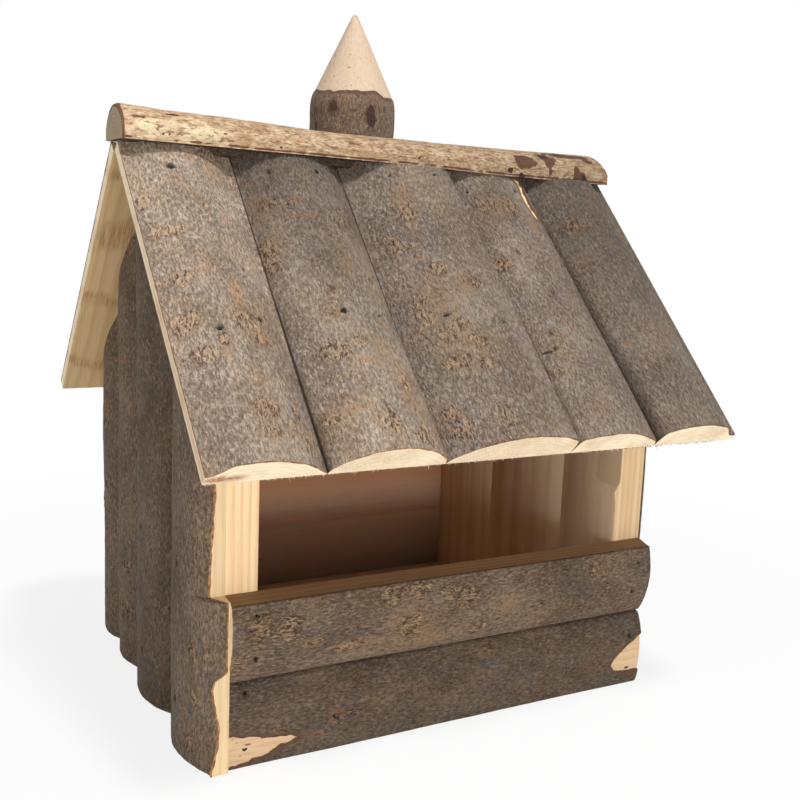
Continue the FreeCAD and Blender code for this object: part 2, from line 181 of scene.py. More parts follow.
Value = Union[Wire, float, tuple]
Colour = Union[Wire, Tone]


class Bench:
    """A material's nodes while they are wired."""

    def __init__(self, name: str) -> None:
        """Starts an empty material.

        Args:
            name: the material's name.
        """
        self.material = bpy.data.materials.new(name)
        self.material.use_nodes = True
        self.tree = self.material.node_tree
        self.tree.nodes.clear()

    def node(self, kind: str, settings: Mapping[str, object], sockets: Mapping[Union[int, str], Value],
             output: Union[int, str, None] = 0) -> Optional[Wire]:
        """Adds a node.

        Args:
            kind: the node's type.
            settings: its settings, and a ramp's stops as (place, tone) pairs.
            sockets: its inputs' values or links, by place or identifier.
            output: the output that is handed on, or none for a node that ends the material.

        Returns:
            That output.
        """
        made = self.tree.nodes.new(kind)
        for key, value in settings.items():
            if key == "stops":
                ramp = made.color_ramp
                while len(ramp.elements) < len(value):
                    ramp.elements.new(0.5)
                for element, (place, tone) in zip(ramp.elements, value):
                    element.position, element.color = place, paint(tone)
            else:
                setattr(made, key, value)
        for key, value in sockets.items():
            target = self._socket(made.inputs, key)
            if isinstance(value, Wire):
                self.tree.links.new(value.socket, target)
            else:
                target.default_value = value
        return None if output is None else Wire(self, self._socket(made.outputs, output))

    @staticmethod
    def _socket(sockets: Sequence[NodeSocket], key: Union[int, str]) -> NodeSocket:
        """The socket with this place or identifier."""
        return sockets[key] if isinstance(key, int) else next(s for s in sockets if s.identifier == key)

    def attribute(self, name: str, output: str = "Fac") -> Wire:
        """A value or vector that the piece carries on its points."""
        return self.node("ShaderNodeAttribute", {"attribute_name": name}, {}, output)

    def place(self) -> Wire:
        """A point's place in metres."""
        return self.node("ShaderNodeTexCoord", {}, {}, "Object")

    def parts(self, vector: Wire) -> tuple[Wire, ...]:
        """A vector's three values."""
        outputs = self.node("ShaderNodeSeparateXYZ", {}, {0: vector}).socket.node.outputs
        return tuple(Wire(self, output) for output in outputs)

    def scaled(self, vector: Wire, size: tuple[float, float, float]) -> Wire:
        """A vector with each of its values times a number."""
        return self.node("ShaderNodeVectorMath", {"operation": "MULTIPLY"}, {0: vector, 1: size})

    def noise(self, vector: Wire, scale: float, detail: float = 2.0, rough: float = 0.5, bent: float = 0.0) -> Wire:
        """Cloudy noise.

        Args:
            vector: where it is read.
            scale: swells per unit.
            detail: how many finer layers there are.
            rough: how strong they are.
            bent: how much the noise is bent by itself.

        Returns:
            The noise, about 0.3 to 0.7.
        """
        sockets = {"Vector": vector, "Scale": scale, "Detail": detail, "Roughness": rough, "Distortion": bent}
        return self.node("ShaderNodeTexNoise", {}, sockets)

    def drawn(self, grain: Wire, across: float, along: float, detail: float = 2.0, rough: float = 0.5,
              bent: float = 0.0, scale: float = 1.0) -> Wire:
        """Noise drawn out along the grain, with its own numbers of swells across and along."""
        return self.noise(self.scaled(grain, (across, along, across)), scale, detail, rough, bent)

    def band(self, value: Value, low: float, high: float) -> Wire:
        """A smooth step from 0 at low to 1 at high."""
        sockets = {"Value": value, "From Min": low, "From Max": high}
        return self.node("ShaderNodeMapRange", {"interpolation_type": "SMOOTHSTEP"}, sockets)

    def ramp(self, value: Wire, *stops: tuple[float, Tone]) -> Wire:
        """A colour from a value."""
        return self.node("ShaderNodeValToRGB", {"stops": stops}, {0: value})

    def mix(self, share: Value, under: Colour, over: Colour) -> Wire:
        """One colour laid over another.

        Args:
            share: how much of the upper colour shows.
            under: the lower colour.
            over: the upper colour.

        Returns:
            The mixed colour.
        """
        under, over = (c if isinstance(c, Wire) else paint(c) for c in (under, over))
        sockets = {"Factor_Float": share, "A_Color": under, "B_Color": over}
        return self.node("ShaderNodeMix", {"data_type": "RGBA"}, sockets, "Result_Color")

    def coats(self, colour: Colour, *coats: tuple[Value, Colour]) -> Wire:
        """Lays colours over one another.

        Args:
            colour: the lowest colour.
            coats: the share and the colour of each coat, from below.

        Returns:
            The mixed colour.
        """
        for share, over in coats:
            colour = self.mix(share, colour, over)
        return colour

    def bright(self, colour: Wire, share: Value) -> Wire:
        """A colour made brighter or darker."""
        return self.node("ShaderNodeVectorMath", {"operation": "SCALE"}, {0: colour, "Scale": share})

    def close(self, colour: Wire, rough: Value, height: Wire, depth: float, specular: float = 0.3,
              metal: float = 0.0) -> Material:
        """Ends the material with its shader.

        Args:
            colour: the base colour.
            rough: the roughness.
            height: the fine relief, 0 to 1.
            depth: the relief's depth in millimetres.
            specular: how much the surface mirrors.
            metal: how metallic it is.

        Returns:
            The finished material.
        """
        bump = self.node("ShaderNodeBump", {}, {"Strength": 1.0, "Distance": depth * MM, "Height": height})
        sockets = {"Base Color": colour, "Roughness": rough, "Normal": bump, "Specular IOR Level": specular,
                   "Metallic": metal}
        shader = self.node("ShaderNodeBsdfPrincipled", {}, sockets)
        self.node("ShaderNodeOutputMaterial", {}, {"Surface": shader}, None)
        return self.material


@dataclass(frozen=True)
class BarkFinish:
    """Rough grey-brown bark with wrinkled scars, rusty and tan stains, and places where the bark has come off."""

    name: str = "bark"
    dark: Tone = (84, 70, 58)
    middle: Tone = (142, 125, 110)
    light: Tone = (198, 182, 165)
    tan: Tone = (180, 148, 116)
    rust: Tone = (196, 146, 104)
    cream: Tone = (228, 196, 160)
    # Dark of cracks and knots, also painted shade in the scars' fissures and along the slabs' joints.
    crack_and_shade: Tone = (62, 47, 37)
    under: Tone = (122, 84, 60)
    bare: Tone = (228, 196, 156)
    bare_line: Tone = (212, 174, 132)
    hole: Tone = (40, 30, 24)
    warmer: tuple[float, float, float] = (1.05, 0.97, 0.86)
    # How the bark is darkened along its creases: painted shade in them.
    crease_shade: tuple[float, float, float] = (0.5, 0.47, 0.44)

    def make(self) -> Material:
        """The bark as a material.

        Returns:
            The finished material.
        """
        bench = Bench(self.name)
        grain = bench.attribute("grain", "Vector")
        scar, dark, rust = bench.parts(bench.attribute("marks", "Vector"))
        fine = bench.drawn(grain, 1.25, 0.5, 4.0, 0.65, 0.25, 0.9)
        wrinkle = bench.drawn(grain, 0.7, 0.34, 3.0, 0.6, 0.3)
        off_middle = wrinkle - 0.5
        crease = 1.0 - bench.band(off_middle * off_middle, 0.0001, 0.0016)
        cloud = bench.drawn(grain, 1.0, 0.6, 4.0, 0.55, scale=0.045)
        warm = bench.band(bench.drawn(grain, 1.0, 0.7, 5.0, 0.65, scale=0.06), 0.42, 0.66)
        fleck = bench.band(bench.drawn(grain, 0.5, 0.34, 4.0, 0.6), 0.57, 0.66)
        fissure = bench.drawn(grain, 0.85, 0.36, 2.0, 0.5, 1.1)
        near = bench.band(scar + 0.6 * off_middle, 0.1, 0.75)
        colour = bench.ramp(1.05 * fine + 0.35 * wrinkle + 0.5 * cloud - 0.38,
                            (0.25, self.dark), (0.5, self.middle), (0.75, self.light))
        colour = bench.mix(warm, colour, bench.scaled(colour, self.warmer))
        # The first coat is painted shade along the creases.
        colour = bench.coats(
            colour, (crease * (0.2 + 0.6 * fine), bench.scaled(colour, self.crease_shade)),
            (fleck * (0.2 + 0.5 * warm), self.tan),
            (bench.attribute("stain") * bench.band(fine + 0.5 * wrinkle, 0.55, 0.85) * 0.8, self.tan),
            (rust * bench.band(fine + 0.6 * wrinkle, 0.62, 0.88) * 0.7, self.rust),
            (near * 0.35, bench.mix(0.25, self.tan, self.rust)),
            # On the scars: light cream on the ridges, partly their own colour and partly painted highlight, and dark
            # in the fissures, partly their own colour and partly painted shade.
            (near * bench.band(fissure, 0.5, 0.62) * 0.55, self.cream),
            (near * (1.0 - bench.band(fissure, 0.38, 0.49)) * 0.8, self.crack_and_shade),
            # Dark marks: the bark's own dark spots, and the painted shade along the slabs' joints.
            (bench.band(dark, 0.15, 0.7) * 0.9, self.crack_and_shade))
        fibre = bench.drawn(grain, 0.9, 0.06, 3.0, 0.6)
        wood = bench.mix(bench.band(fibre, 0.4, 0.7), self.bare, self.bare_line)
        wood = bench.mix(bench.band(bench.noise(grain, 0.42, 1.0), 0.7, 0.76) * 0.75, wood, self.under)
        edge = bench.attribute("bare") + off_middle * 1.8
        off = bench.band(edge, -0.25, 0.25)
        colour = bench.coats(
            bench.bright(colour, bench.attribute("tone")),
            (bench.band(edge + 2.0 * fine, -1.6, 0.6) * 0.85, self.under), (off, wood),
            # Holes are painted near black: painted shade inside them.
            (bench.attribute("pit"), self.hole))
        ridges = 1.5 * fine + 1.2 * wrinkle - 0.15 * crease + 1.8 * near * fissure
        return bench.close(colour, 0.86 - 0.2 * wrinkle, (1.0 - off) * ridges + 0.1 * fibre, 2.1, 0.35)


@dataclass(frozen=True)
class SawnFinish:
    """Sawn pine with growth rings round the log's heart, which lie as lines along the board and arcs at its end."""

    name: str = "sawn_pine"
    pale: Tone = (248, 231, 200)
    line: Tone = (232, 202, 160)
    tan: Tone = (236, 209, 170)
    ring: float = 2.6
    strength: float = 0.4
    whorl: float = 0.0
    toned: bool = True
    # The colour that the wood turns to where its tone is low: painted shade.
    shaded: Optional[Tone] = None
    whorled: Tone = (182, 138, 90)
    streaked: Tone = (166, 104, 58)
    whorl_length: float = 43.0

    def make(self) -> Material:
        """The sawn wood as a material.

        Returns:
            The finished material.
        """
        bench = Bench(self.name)
        grain = bench.attribute("grain", "Vector")
        across, along, up = bench.parts(grain)
        sway = bench.drawn(grain, 0.035, 0.004) * 9.0
        ring = ((across * across + up * up) ** 0.5 + sway) / self.ring % 1.0
        late = bench.band(ring, 0.3, 0.9) * (1.0 - bench.band(ring, 0.93, 1.0))
        fibre = bench.drawn(grain, 1.5, 0.06, 3.0, 0.65)
        streak = bench.drawn(grain, 0.12, 0.006, 3.0)
        colour = bench.coats(self.pale, (late * self.strength, self.line),
                             (bench.band(streak, 0.48, 0.7) * 0.6, self.tan))
        if self.whorl:
            place = (along / self.whorl_length + bench.drawn(grain, 0.05, 0.03, 3.0)) % 1.0
            whorl = bench.band(place, 0.3, 0.5) * (1.0 - bench.band(place, 0.5, 0.7))
            colour = bench.mix(whorl * bench.band(fibre, 0.35, 0.65) * self.whorl, colour, self.whorled)
        colour = bench.mix(bench.attribute("streak") * bench.band(fibre, 0.25, 0.5), colour, self.streaked)
        bright = 0.86 + 0.28 * fibre
        if self.toned:
            tone = bench.attribute("tone")
            bright = tone * bright
            # A low tone also turns the wood to the shaded colour: painted shade, warmer where it is painted dark.
            if self.shaded:
                colour = bench.mix(bench.band(tone, 0.45, 1.2), self.shaded, colour)
        return bench.close(bench.bright(colour, bright), 0.74, fibre, 0.25, 0.25)


@dataclass(frozen=True)
class InnerBarkFinish:
    """The thin red-brown edge that shows where bark is cut through."""

    deep: Tone = (92, 62, 42)
    rusty: Tone = (166, 122, 84)

    def make(self) -> Material:
        """The cut edge of the bark as a material.

        Returns:
            The finished material.
        """
        bench = Bench("inner_bark")
        fleck = bench.noise(bench.attribute("grain", "Vector"), 0.5, 3.0, 0.6)
        colour = bench.ramp(fleck, (0.35, self.deep), (0.65, self.rusty))
        colour = bench.bright(colour, bench.attribute("tone"))
        return bench.close(colour, 0.88, fleck, 0.4, 0.2)


@dataclass(frozen=True)
class PeeledFinish:
    """A branch with its bark peeled off: cream wood, brown fibres and flakes of bark left in places."""

    cream: Tone = (240, 218, 182)
    middle: Tone = (198, 164, 128)
    brown: Tone = (138, 100, 70)
    bark: Tone = (104, 72, 54)
    flaked: Tone = (122, 82, 62)
    rust: Tone = (186, 130, 88)
    dark: Tone = (74, 44, 36)
    pale: Tone = (242, 224, 184)
    hole: Tone = (38, 29, 23)

    def make(self) -> Material:
        """The peeled branch as a material.

        Returns:
            The finished material.
        """
        bench = Bench("peeled_branch")
        grain = bench.attribute("grain", "Vector")
        pale, knot, rust = bench.parts(bench.attribute("marks", "Vector"))
        fibre = bench.drawn(grain, 1.2, 0.4, 4.0, 0.65)
        flake = bench.drawn(grain, 0.45, 0.17, 5.0, 0.65, 0.6)
        scale = bench.band(bench.drawn(grain, 0.7, 0.24, 5.0, 0.7, 0.4), 0.57, 0.65)
        cracked = bench.band(bench.drawn(grain, 0.8, 0.4, 4.0, 0.65, 0.5), 0.58, 0.66)
        left = bench.band(bench.attribute("stain") + 0.4 * (fibre - 0.5), 0.3, 0.5)
        colour = bench.coats(
            bench.ramp(0.9 * fibre + 0.9 * flake - 0.4, (0.3, self.brown), (0.5, self.middle), (0.74, self.cream)),
            (scale * 0.7, self.bark), (pale * bench.band(flake, 0.36, 0.5) * 0.8, self.pale),
            (pale * cracked * 0.8, self.brown), (rust * bench.band(fibre, 0.34, 0.6) * 0.8, self.rust),
            (left, bench.mix(bench.band(flake, 0.4, 0.6), self.bark, self.flaked)),
            # Knots are painted dark, and holes near black as painted shade inside them.
            (bench.band(knot + 0.5 * (fibre - 0.5), 0.3, 0.6), self.dark), (bench.attribute("pit"), self.hole))
        colour = bench.bright(colour, bench.attribute("tone"))
        return bench.close(colour, 0.78, 0.6 * fibre + 0.7 * flake, 0.6, 0.25)


@dataclass(frozen=True)
class SteelFinish:
    """Dull wire, dark with age."""

    bright: Tone = (62, 54, 47)
    dull: Tone = (30, 25, 21)

    def make(self) -> Material:
        """The fasteners' steel as a material.

        Returns:
            The finished material.
        """
        bench = Bench("dull_steel")
        cloud = bench.noise(bench.place(), 900.0, 3.0, 0.6)
        colour = bench.ramp(cloud, (0.4, self.dull), (0.65, self.bright))
        return bench.close(colour, 0.6 + 0.2 * cloud, cloud, 0.05, 0.3, 0.4)


@dataclass(frozen=True)
class BeamFinish:
    """Sawn pine for the timbers inside the roof, whose grain runs along the ridge."""

    pale: Tone = (232, 200, 154)
    line: Tone = (202, 152, 100)

    def make(self) -> Material:
        """The roof timbers' wood as a material.

        Returns:
            The finished material.
        """
        bench = Bench("sawn_beam")
        place = bench.place()
        fibre = bench.noise(bench.scaled(place, (40.0, 1000.0, 1000.0)), 0.5, 4.0, 0.65)
        ring = bench.band(bench.noise(bench.scaled(place, (4.0, 160.0, 160.0)), 1.0, 2.0) * 6.0 % 1.0, 0.3, 0.95)
        colour = bench.bright(bench.mix(ring * 0.7, self.pale, self.line), 0.8 + 0.4 * fibre)
        return bench.close(colour, 0.74, fibre, 0.25)


@dataclass
class Finishes:
    """All finishes of the house, each made once."""

    bark: Material = field(default_factory=BarkFinish().make)
    front_bark: Material = field(default_factory=BarkFinish(
        "front_bark", (58, 47, 38), (102, 86, 71), (150, 129, 108), (152, 122, 90), (160, 112, 80), (196, 166, 128),
        (44, 33, 26), bare=(216, 184, 146), bare_line=(200, 164, 124)).make)
    log_bark: Material = field(default_factory=BarkFinish(
        "log_bark", (70, 55, 46), (122, 101, 83), (170, 146, 124), crack_and_shade=(70, 40, 40), under=(116, 84, 64),
        bare=(200, 177, 152), bare_line=(192, 166, 140)).make)
    inner_bark: Material = field(default_factory=InnerBarkFinish().make)
    sawn: Material = field(default_factory=SawnFinish(strength=0.28, whorl=0.5, toned=False).make)
    facet: Material = field(default_factory=SawnFinish(
        "cut_facet", (232, 204, 160), (214, 176, 130), (222, 186, 140), 3.0, toned=False).make)
    rear_sawn: Material = field(default_factory=SawnFinish(
        "rear_sawn", (232, 199, 150), (208, 164, 112), (220, 180, 130), 2.6, 0.45, 1.0, False).make)
    # The sill's sawn top is painted dark brown: painted shade, for the shadow of the roof over it.
    sill: Material = field(default_factory=SawnFinish(
        "shaded_sill_pine", (142, 108, 76), (112, 82, 56), (126, 94, 64), 2.0, 0.5, toned=False).make)
    board: Material = field(default_factory=SawnFinish(
        "board_pine", (250, 218, 172), (226, 178, 126), (236, 196, 148), 3.4, 0.6).make)
    # The back boards' colours give the painted shade inside the box its hue: warmer on the middle and upper boards,
    # pinker on the lower one.
    back: Material = field(default_factory=SawnFinish(
        "back_pine", (238, 206, 184), (222, 187, 162), (226, 191, 168), 5.2, 0.35, shaded=(236, 172, 122)).make)
    shaded_low_back: Material = field(default_factory=SawnFinish(
        "low_back_pine", (240, 214, 200), (224, 194, 178), (228, 198, 182), 5.2, 0.35).make)
    inside: Material = field(default_factory=SawnFinish(
        "inside_pine", (246, 218, 184), (212, 180, 144), (224, 192, 156), 9.1, 0.5).make)
    grey_end: Material = field(default_factory=SawnFinish(
        "grey_end", (178, 158, 128), (144, 125, 98), (162, 141, 112), 1.7, 0.5).make)
    peeled: Material = field(default_factory=PeeledFinish().make)
    steel: Material = field(default_factory=SteelFinish().make)
    beam: Material = field(default_factory=BeamFinish().make)


class MarkKind(Enum):
    """What a mark on the bark is, by the name of the value that the finish reads."""

    SCAR = "scar"
    RUST = "rust"
    STAIN = "stain"
    DARK = "dark"
    HOLE = "pit"

    @property
    def rise(self) -> float:
        """How far the mark stands out."""
        return {MarkKind.SCAR: 0.35, MarkKind.RUST: 0.12, MarkKind.HOLE: -1.6}.get(self, 0.0)


@dataclass(frozen=True)
class Mark:
    """An oval mark on a log's outer face, in the log's own frame."""

    kind: MarkKind
    x: float
    y: float
    wide: float
    tall: float
    share: float = 1.0


def marked(**kinds: Sequence[Sequence[float]]) -> list[Mark]:
    """A log's marks, from rows of a place, a size and, where it isn't 1, a share for each kind."""
    return [Mark(MarkKind[kind.upper()], *row) for kind, rows in kinds.items() for row in rows]


def scatter(seed: int, count: int, across: Spot, along: Spot) -> list[Mark]:
    """Ridged scars and stains strewn over a slab.

    Args:
        seed: the number that the places come from.
        count: how many marks there are.
        across: the range across.
        along: the range along.

    Returns:
        The marks.
    """
    source = np.random.RandomState(seed)
    kinds = (MarkKind.SCAR, MarkKind.SCAR, MarkKind.STAIN, MarkKind.RUST)
    ranges = (across, along, (3.0, 8.0), (2.5, 5.5), (0.5, 1.0))
    return [Mark(kinds[k % 4], *(source.uniform(*between) for between in ranges)) for k in range(count)]


def read(items: bpy.types.bpy_prop_collection, name: str) -> Array:
    """A vector of each of a mesh's points or faces.

    Args:
        items: the points or faces.
        name: which of their vectors is read.

    Returns:
        One row for each.
    """
    flat = np.empty(len(items) * 3)
    items.foreach_get(name, flat)
    return flat.reshape(-1, 3)


class Stock:
    """One mesh piece on the bench, shaped with modelling operators and then put in its place."""

    def __init__(self, name: str) -> None:
        """Takes the primitive that was just added.

        Args:
            name: the piece's name.
        """
        self.object = bpy.context.object
        self.mesh = self.object.data
        self.object.name = self.mesh.name = name

    @classmethod
    def grid(cls, name: str, columns: int, rows: int) -> "Stock":
        """A flat sheet of faces, one unit wide and long.

        Args:
            name: the piece's name.
            columns: how many faces it has across.
            rows: how many faces it has along.

        Returns:
            The sheet.
        """
        bpy.ops.object.select_all(action="DESELECT")
        bpy.ops.mesh.primitive_grid_add(x_subdivisions=columns, y_subdivisions=rows, size=1.0)
        return cls(name)

    @classmethod
    def block(cls, name: str, low: Vector, high: Vector) -> "Stock":
        """A block between two corners.

        Args:
            name: the piece's name.
            low: its lowest corner, in metres.
            high: its highest corner, in metres.

        Returns:
            The block.
        """
        bpy.ops.object.select_all(action="DESELECT")
        bpy.ops.mesh.primitive_cube_add(size=1.0, location=(low + high) / 2)
        bpy.context.object.scale = high - low
        bpy.ops.object.transform_apply(location=True, rotation=True, scale=True)
        return cls(name)

    def points(self) -> Array:
        """The piece's points in millimetres."""
        return read(self.mesh.vertices, "co") / MM

    def shape(self, points: Array) -> None:
        """Moves the piece's points, given in millimetres."""
        self.mesh.vertices.foreach_set("co", (points * MM).ravel())
        self.mesh.update()

    def edit(self, on: bool = True) -> None:
        """Goes into edit mode, or out of it."""
        bpy.ops.object.mode_set(mode="EDIT" if on else "OBJECT")

    def pick(self) -> None:
        """Makes the piece the active one, and the only one that is selected."""
        bpy.ops.object.select_all(action="DESELECT")
        self.object.select_set(True)
        bpy.context.view_layer.objects.active = self.object

    def select_border(self) -> None:
        """Selects the open edges, in edit mode."""
        bpy.ops.mesh.select_mode(type="EDGE")
        bpy.ops.mesh.select_all(action="DESELECT")
        bpy.ops.mesh.select_non_manifold(extend=False, use_wire=False, use_boundary=True, use_multi_face=False,
                                         use_non_contiguous=False, use_verts=False)

    def extrude(self) -> int:
        """Extrudes what is selected, with no move yet.

        Returns:
            How many points there were before.
        """
        self.edit(False)
        before = len(self.mesh.vertices)
        self.edit()
        bpy.ops.mesh.extrude_region_move(TRANSFORM_OT_translate={"value": (0.0, 0.0, 0.0)})
        self.edit(False)
        return before

    def outward(self) -> None:
        """Turns all faces outwards."""
        self.edit()
        bpy.ops.mesh.select_all(action="SELECT")
        bpy.ops.mesh.normals_make_consistent(inside=False)
        self.edit(False)

    def carry(self, **named: Union[float, Array]) -> None:
        """Gives each point the values or vectors that the finish reads.

        Args:
            named: for each attribute's name one number for all points, or a value or vector for each.
        """
        for name, values in named.items():
            values = np.asarray(values, np.float32)
            if values.ndim == 0:
                values = np.full(len(self.mesh.vertices), values, np.float32)
            kind, key = ("FLOAT_VECTOR", "vector") if values.ndim == 2 else ("FLOAT", "value")
            self.mesh.attributes.new(name, kind, "POINT").data.foreach_set(key, values.ravel())

    def dress(self, skins: Skins, layers: Optional[Array] = None) -> None:
        """Puts finishes on the piece.

        Args:
            skins: the finishes.
            layers: which of them each face has, or none where all have the first.
        """
        for skin in skins:
            self.mesh.materials.append(skin)
        if layers is not None:
            self.mesh.polygons.foreach_set("material_index", layers.astype(np.int32))

    def settle(self, place: Matrix, node: str, slot: str, angle: float) -> None:
        """Shades the piece, puts it in its place and lets it stand for its node.

        Args:
            place: the place of the piece's own frame, in metres.
            node: the node that the piece replaces.
            slot: the record's material slot; not used.
            angle: the angle in degrees from which an edge stays sharp.
        """
        self.pick()
        bpy.ops.object.shade_smooth_by_angle(angle=math.radians(angle))
        self.object.matrix_world = place
        bpy.ops.object.transform_apply(location=True, rotation=True, scale=True)
        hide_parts(node)
        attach(self.object, "root")
        LOG.info("%s: %d points", self.object.name, len(self.mesh.vertices))


def seat(across: Sequence[float], along: Sequence[float], out: Sequence[float], origin: Sequence[float]) -> Matrix:
    """A piece's own frame.

    Args:
        across: the direction of its x.
        along: the direction of its y.
        out: the direction of its z.
        origin: its place in millimetres.

    Returns:
        The frame as a matrix in metres.
    """
    turn = Matrix((across, along, out)).transposed().to_4x4()
    return Matrix.Translation(Vector(origin) * MM) @ turn


def cap_frame() -> Matrix:
    """The ridge cap's own frame, which leans to the right as its seat does."""
    cos, sin = math.cos(HOUSE.cap_tilt), math.sin(HOUSE.cap_tilt)
    return seat((0, -1, 0), (cos, 0, -sin), (sin, 0, cos), (0, 0, HOUSE.cap_seat))


def driven_spots(node: str, place: Matrix, apart: float = 6.0) -> list[Spot]:
    """Where a group of fasteners enters a face.

    Args:
        node: the fasteners' node.
        place: the face's own frame.
        apart: the distance that points of two fasteners have at least.

    Returns:
        The places in that frame, in millimetres.
    """
    back = np.array(place.inverted())
    local = (read(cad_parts[node].data.vertices, "co") @ back[:3, :3].T + back[:3, 3])[:, :2] / MM
    spots: list[Spot] = []
    for x, y in local:
        if all(math.hypot(x - p, y - q) > apart for p, q in spots):
            spots.append((float(x), float(y)))
    return [tuple(local[np.hypot(local[:, 0] - p, local[:, 1] - q) < apart].mean(0)) for p, q in spots]


def inside(x: Array, y: Array, corners: Sequence[Spot]) -> Array:
    """How far places lie inside an outline.

    Args:
        x: places across.
        y: places along.
        corners: the outline's corners.

    Returns:
        The distance to the outline, below zero outside it.
    """
    near = np.full(x.shape, 1e9)
    within = np.zeros(x.shape, bool)
    for (ax, ay), (bx, by) in zip(corners, [*corners[1:], corners[0]]):
        share = np.clip(((x - ax) * (bx - ax) + (y - ay) * (by - ay)) / ((bx - ax) ** 2 + (by - ay) ** 2), 0, 1)
        near = np.minimum(near, np.hypot(x - ax - share * (bx - ax), y - ay - share * (by - ay)))
        if ay != by:
            within ^= ((ay > y) != (by > y)) & (x < (bx - ax) * (y - ay) / (by - ay) + ax)
    return np.where(within, near, -near)


@dataclass
class HalfLog:
    """A half-log slab in its own frame: x across, y along the log, z out of its flat sawn back."""

    node: str
    place: Matrix
    low: Spot
    high: Spot
    along: Spot
    axis: float
    crown: float
    radius: float
    mesh_size: float
    seed: int
    tones: Spot
    thinning: float = 0.0
    relief: float = 1.0
    wrapped: tuple[bool, bool] = (True, True)
    edge_heights: Spot = (0.0, 0.0)
    edge_width: float = 10.0
    slant: float = 0.0
    roll: float = 2.4
    roll_floor: float = 0.2
    # How dark the bark along the sill's edge is painted: painted shade under the roof.
    sill_shade_tone: float = 0.62
    # How dark the painted shade along the slab's joined edges is.
    joint_shade: float = 0.0
    splinters: int = 0
    front: bool = False
    marks: Sequence[Mark] = ()
    bare: Sequence[Sequence[Spot]] = ()
    pits: Sequence[Spot] = ()
    streaks: Sequence[tuple[float, float, float, float]] = ()
    slot: str = "bark_slab"

    SIDE_RINGS = (0.75, 2.0 / 3.0, 0.5, 0.0)
    FIBRE_LENGTHS = (0.5, 0.8, 1.3, 2.2)
    FIBRE_SHARES = (0.44, 0.36, 0.16, 0.04)
    FIBRE_SEED = 900
    EDGE_SEED = 500
    BARK = 1.0
    BARK_VARIES = 0.4
    SWELL = 0.5
    WRINKLE = 0.12
    PIT_DEPTH = 1.3
    OUTSIDE = -9.0
    GRAIN_SHIFT = 211.0
    SIDE_FACE = 0.7
    CUT_FACE = 0.5
    SHARP = 42.0

    def outline(self, a: Array, b: Array) -> tuple[Array, Array]:
        """Where the sheet's points lie on the slab's back.

        Args:
            a: shares across, 0 to 1.
            b: shares along, 0 to 1.

        Returns:
            Places across and along.
        """
        y = self.along[0] + (self.along[1] - self.along[0]) * b
        left, right = self.sides(y)
        return left + (right - left) * a, y

    def _share(self, y: Array) -> Array:
        """The share of the slab's length at a place along it."""
        return np.clip((y - self.along[0]) / (self.along[1] - self.along[0]), 0.0, 1.0)

    def sides(self, y: Array) -> tuple[Array, Array]:
        """The slab's left and right edges at a place along it."""
        share = self._share(y)
        return tuple(low + (high - low) * share for low, high in zip(self.low, self.high))

    def _from_edges(self, x: Array, y: Array) -> tuple[Array, Array]:
        """How far places lie from the slab's left and right edges."""
        left, right = self.sides(y)
        return x - left, right - x

    def height(self, x: Array, y: Array) -> Array:
        """The outer face of the plain log over the slab's back."""
        fall = self.radius - np.sqrt(np.maximum(self.radius ** 2 - (x - self.axis) ** 2, 1.0))
        return self.crown - self.thinning * self._share(y) - fall

    def trimmed(self, x: Array, y: Array, z: Array) -> Array:
        """The outer face after its edges are rolled over or cut to a thickness.

        Args:
            x: places across.
            y: places along.
            z: heights over the back.

        Returns:
            The heights that are left.
        """
        for far, wrapped, thick in zip(self._from_edges(x, y), self.wrapped, self.edge_heights):
            if thick:
                z = thick + (z - thick) * step(far, 0.0, self.edge_width)
            elif wrapped:
                rolled = np.sqrt(1.0 - (1.0 - np.clip(far / self.roll, 0.0, 1.0)) ** 2)
                z = z * (self.roll_floor + (1.0 - self.roll_floor) * rolled)
        return np.maximum(z, THINNEST)

    def skins(self, finishes: Finishes) -> Skins:
        """The finishes of the outer face, its thin edge, the sawn wood and a cut side, the sill's wood painted dark
        as painted shade.
        """
        bark = finishes.front_bark if self.front else finishes.bark
        return bark, finishes.inner_bark, finishes.sawn, finishes.sill

    def build(self, finishes: Finishes) -> None:
        """Models and dresses the slab.

        Args:
            finishes: the house's finishes.
        """
        width = max(self.low[1] - self.low[0], self.high[1] - self.high[0])
        stock = Stock.grid(f"{self.node}_log", round(width / self.mesh_size),
                           round((self.along[1] - self.along[0]) / self.mesh_size))
        share = stock.points() * MM + 0.5
        x, y = self.outline(share[:, 0], share[:, 1])
        stock.shape(np.column_stack((x, y, self.surface(x, y)[0])))
        top_faces = len(stock.mesh.polygons)
        rim_faces = self._close(stock)
        if self.splinters:
            self._fray(stock)
        self._dress(stock, finishes, top_faces, rim_faces)

    def _close(self, stock: Stock) -> int:
        """Gives the sheet its bark edge, its sawn sides and its flat back.

        Args:
            stock: the slab's mesh, still an open sheet.

        Returns:
            How many faces have bark or the bark's cut edge.
        """
        stock.edit()
        stock.select_border()
        first = stock.extrude()
        points = stock.points()
        rim = points[first:]
        varies = Ripple(self.seed + self.EDGE_SEED).layers(rim[:, 0], rim[:, 1], 5.0)
        bark = self.BARK + self.BARK_VARIES * varies
        rim[:, 2] -= np.minimum(bark, 0.5 * rim[:, 2])
        stock.shape(points)
        rim_faces = len(stock.mesh.polygons)
        for share in self.SIDE_RINGS:
            start = stock.extrude()
            points = stock.points()
            points[start:, 2] *= share
            if self.slant:
                upper = points[start:, 0] < self.low[0] + 0.9 * self.slant
                points[start:, 0] -= np.where(upper, self.slant / len(self.SIDE_RINGS), 0.0)
            stock.shape(points)
        stock.edit()
        bpy.ops.mesh.edge_face_add()
        self.underside(stock)
        stock.edit(False)
        stock.outward()
        return rim_faces

    def underside(self, stock: Stock) -> None:
        """Shapes the back, which is selected in edit mode, where it isn't flat."""

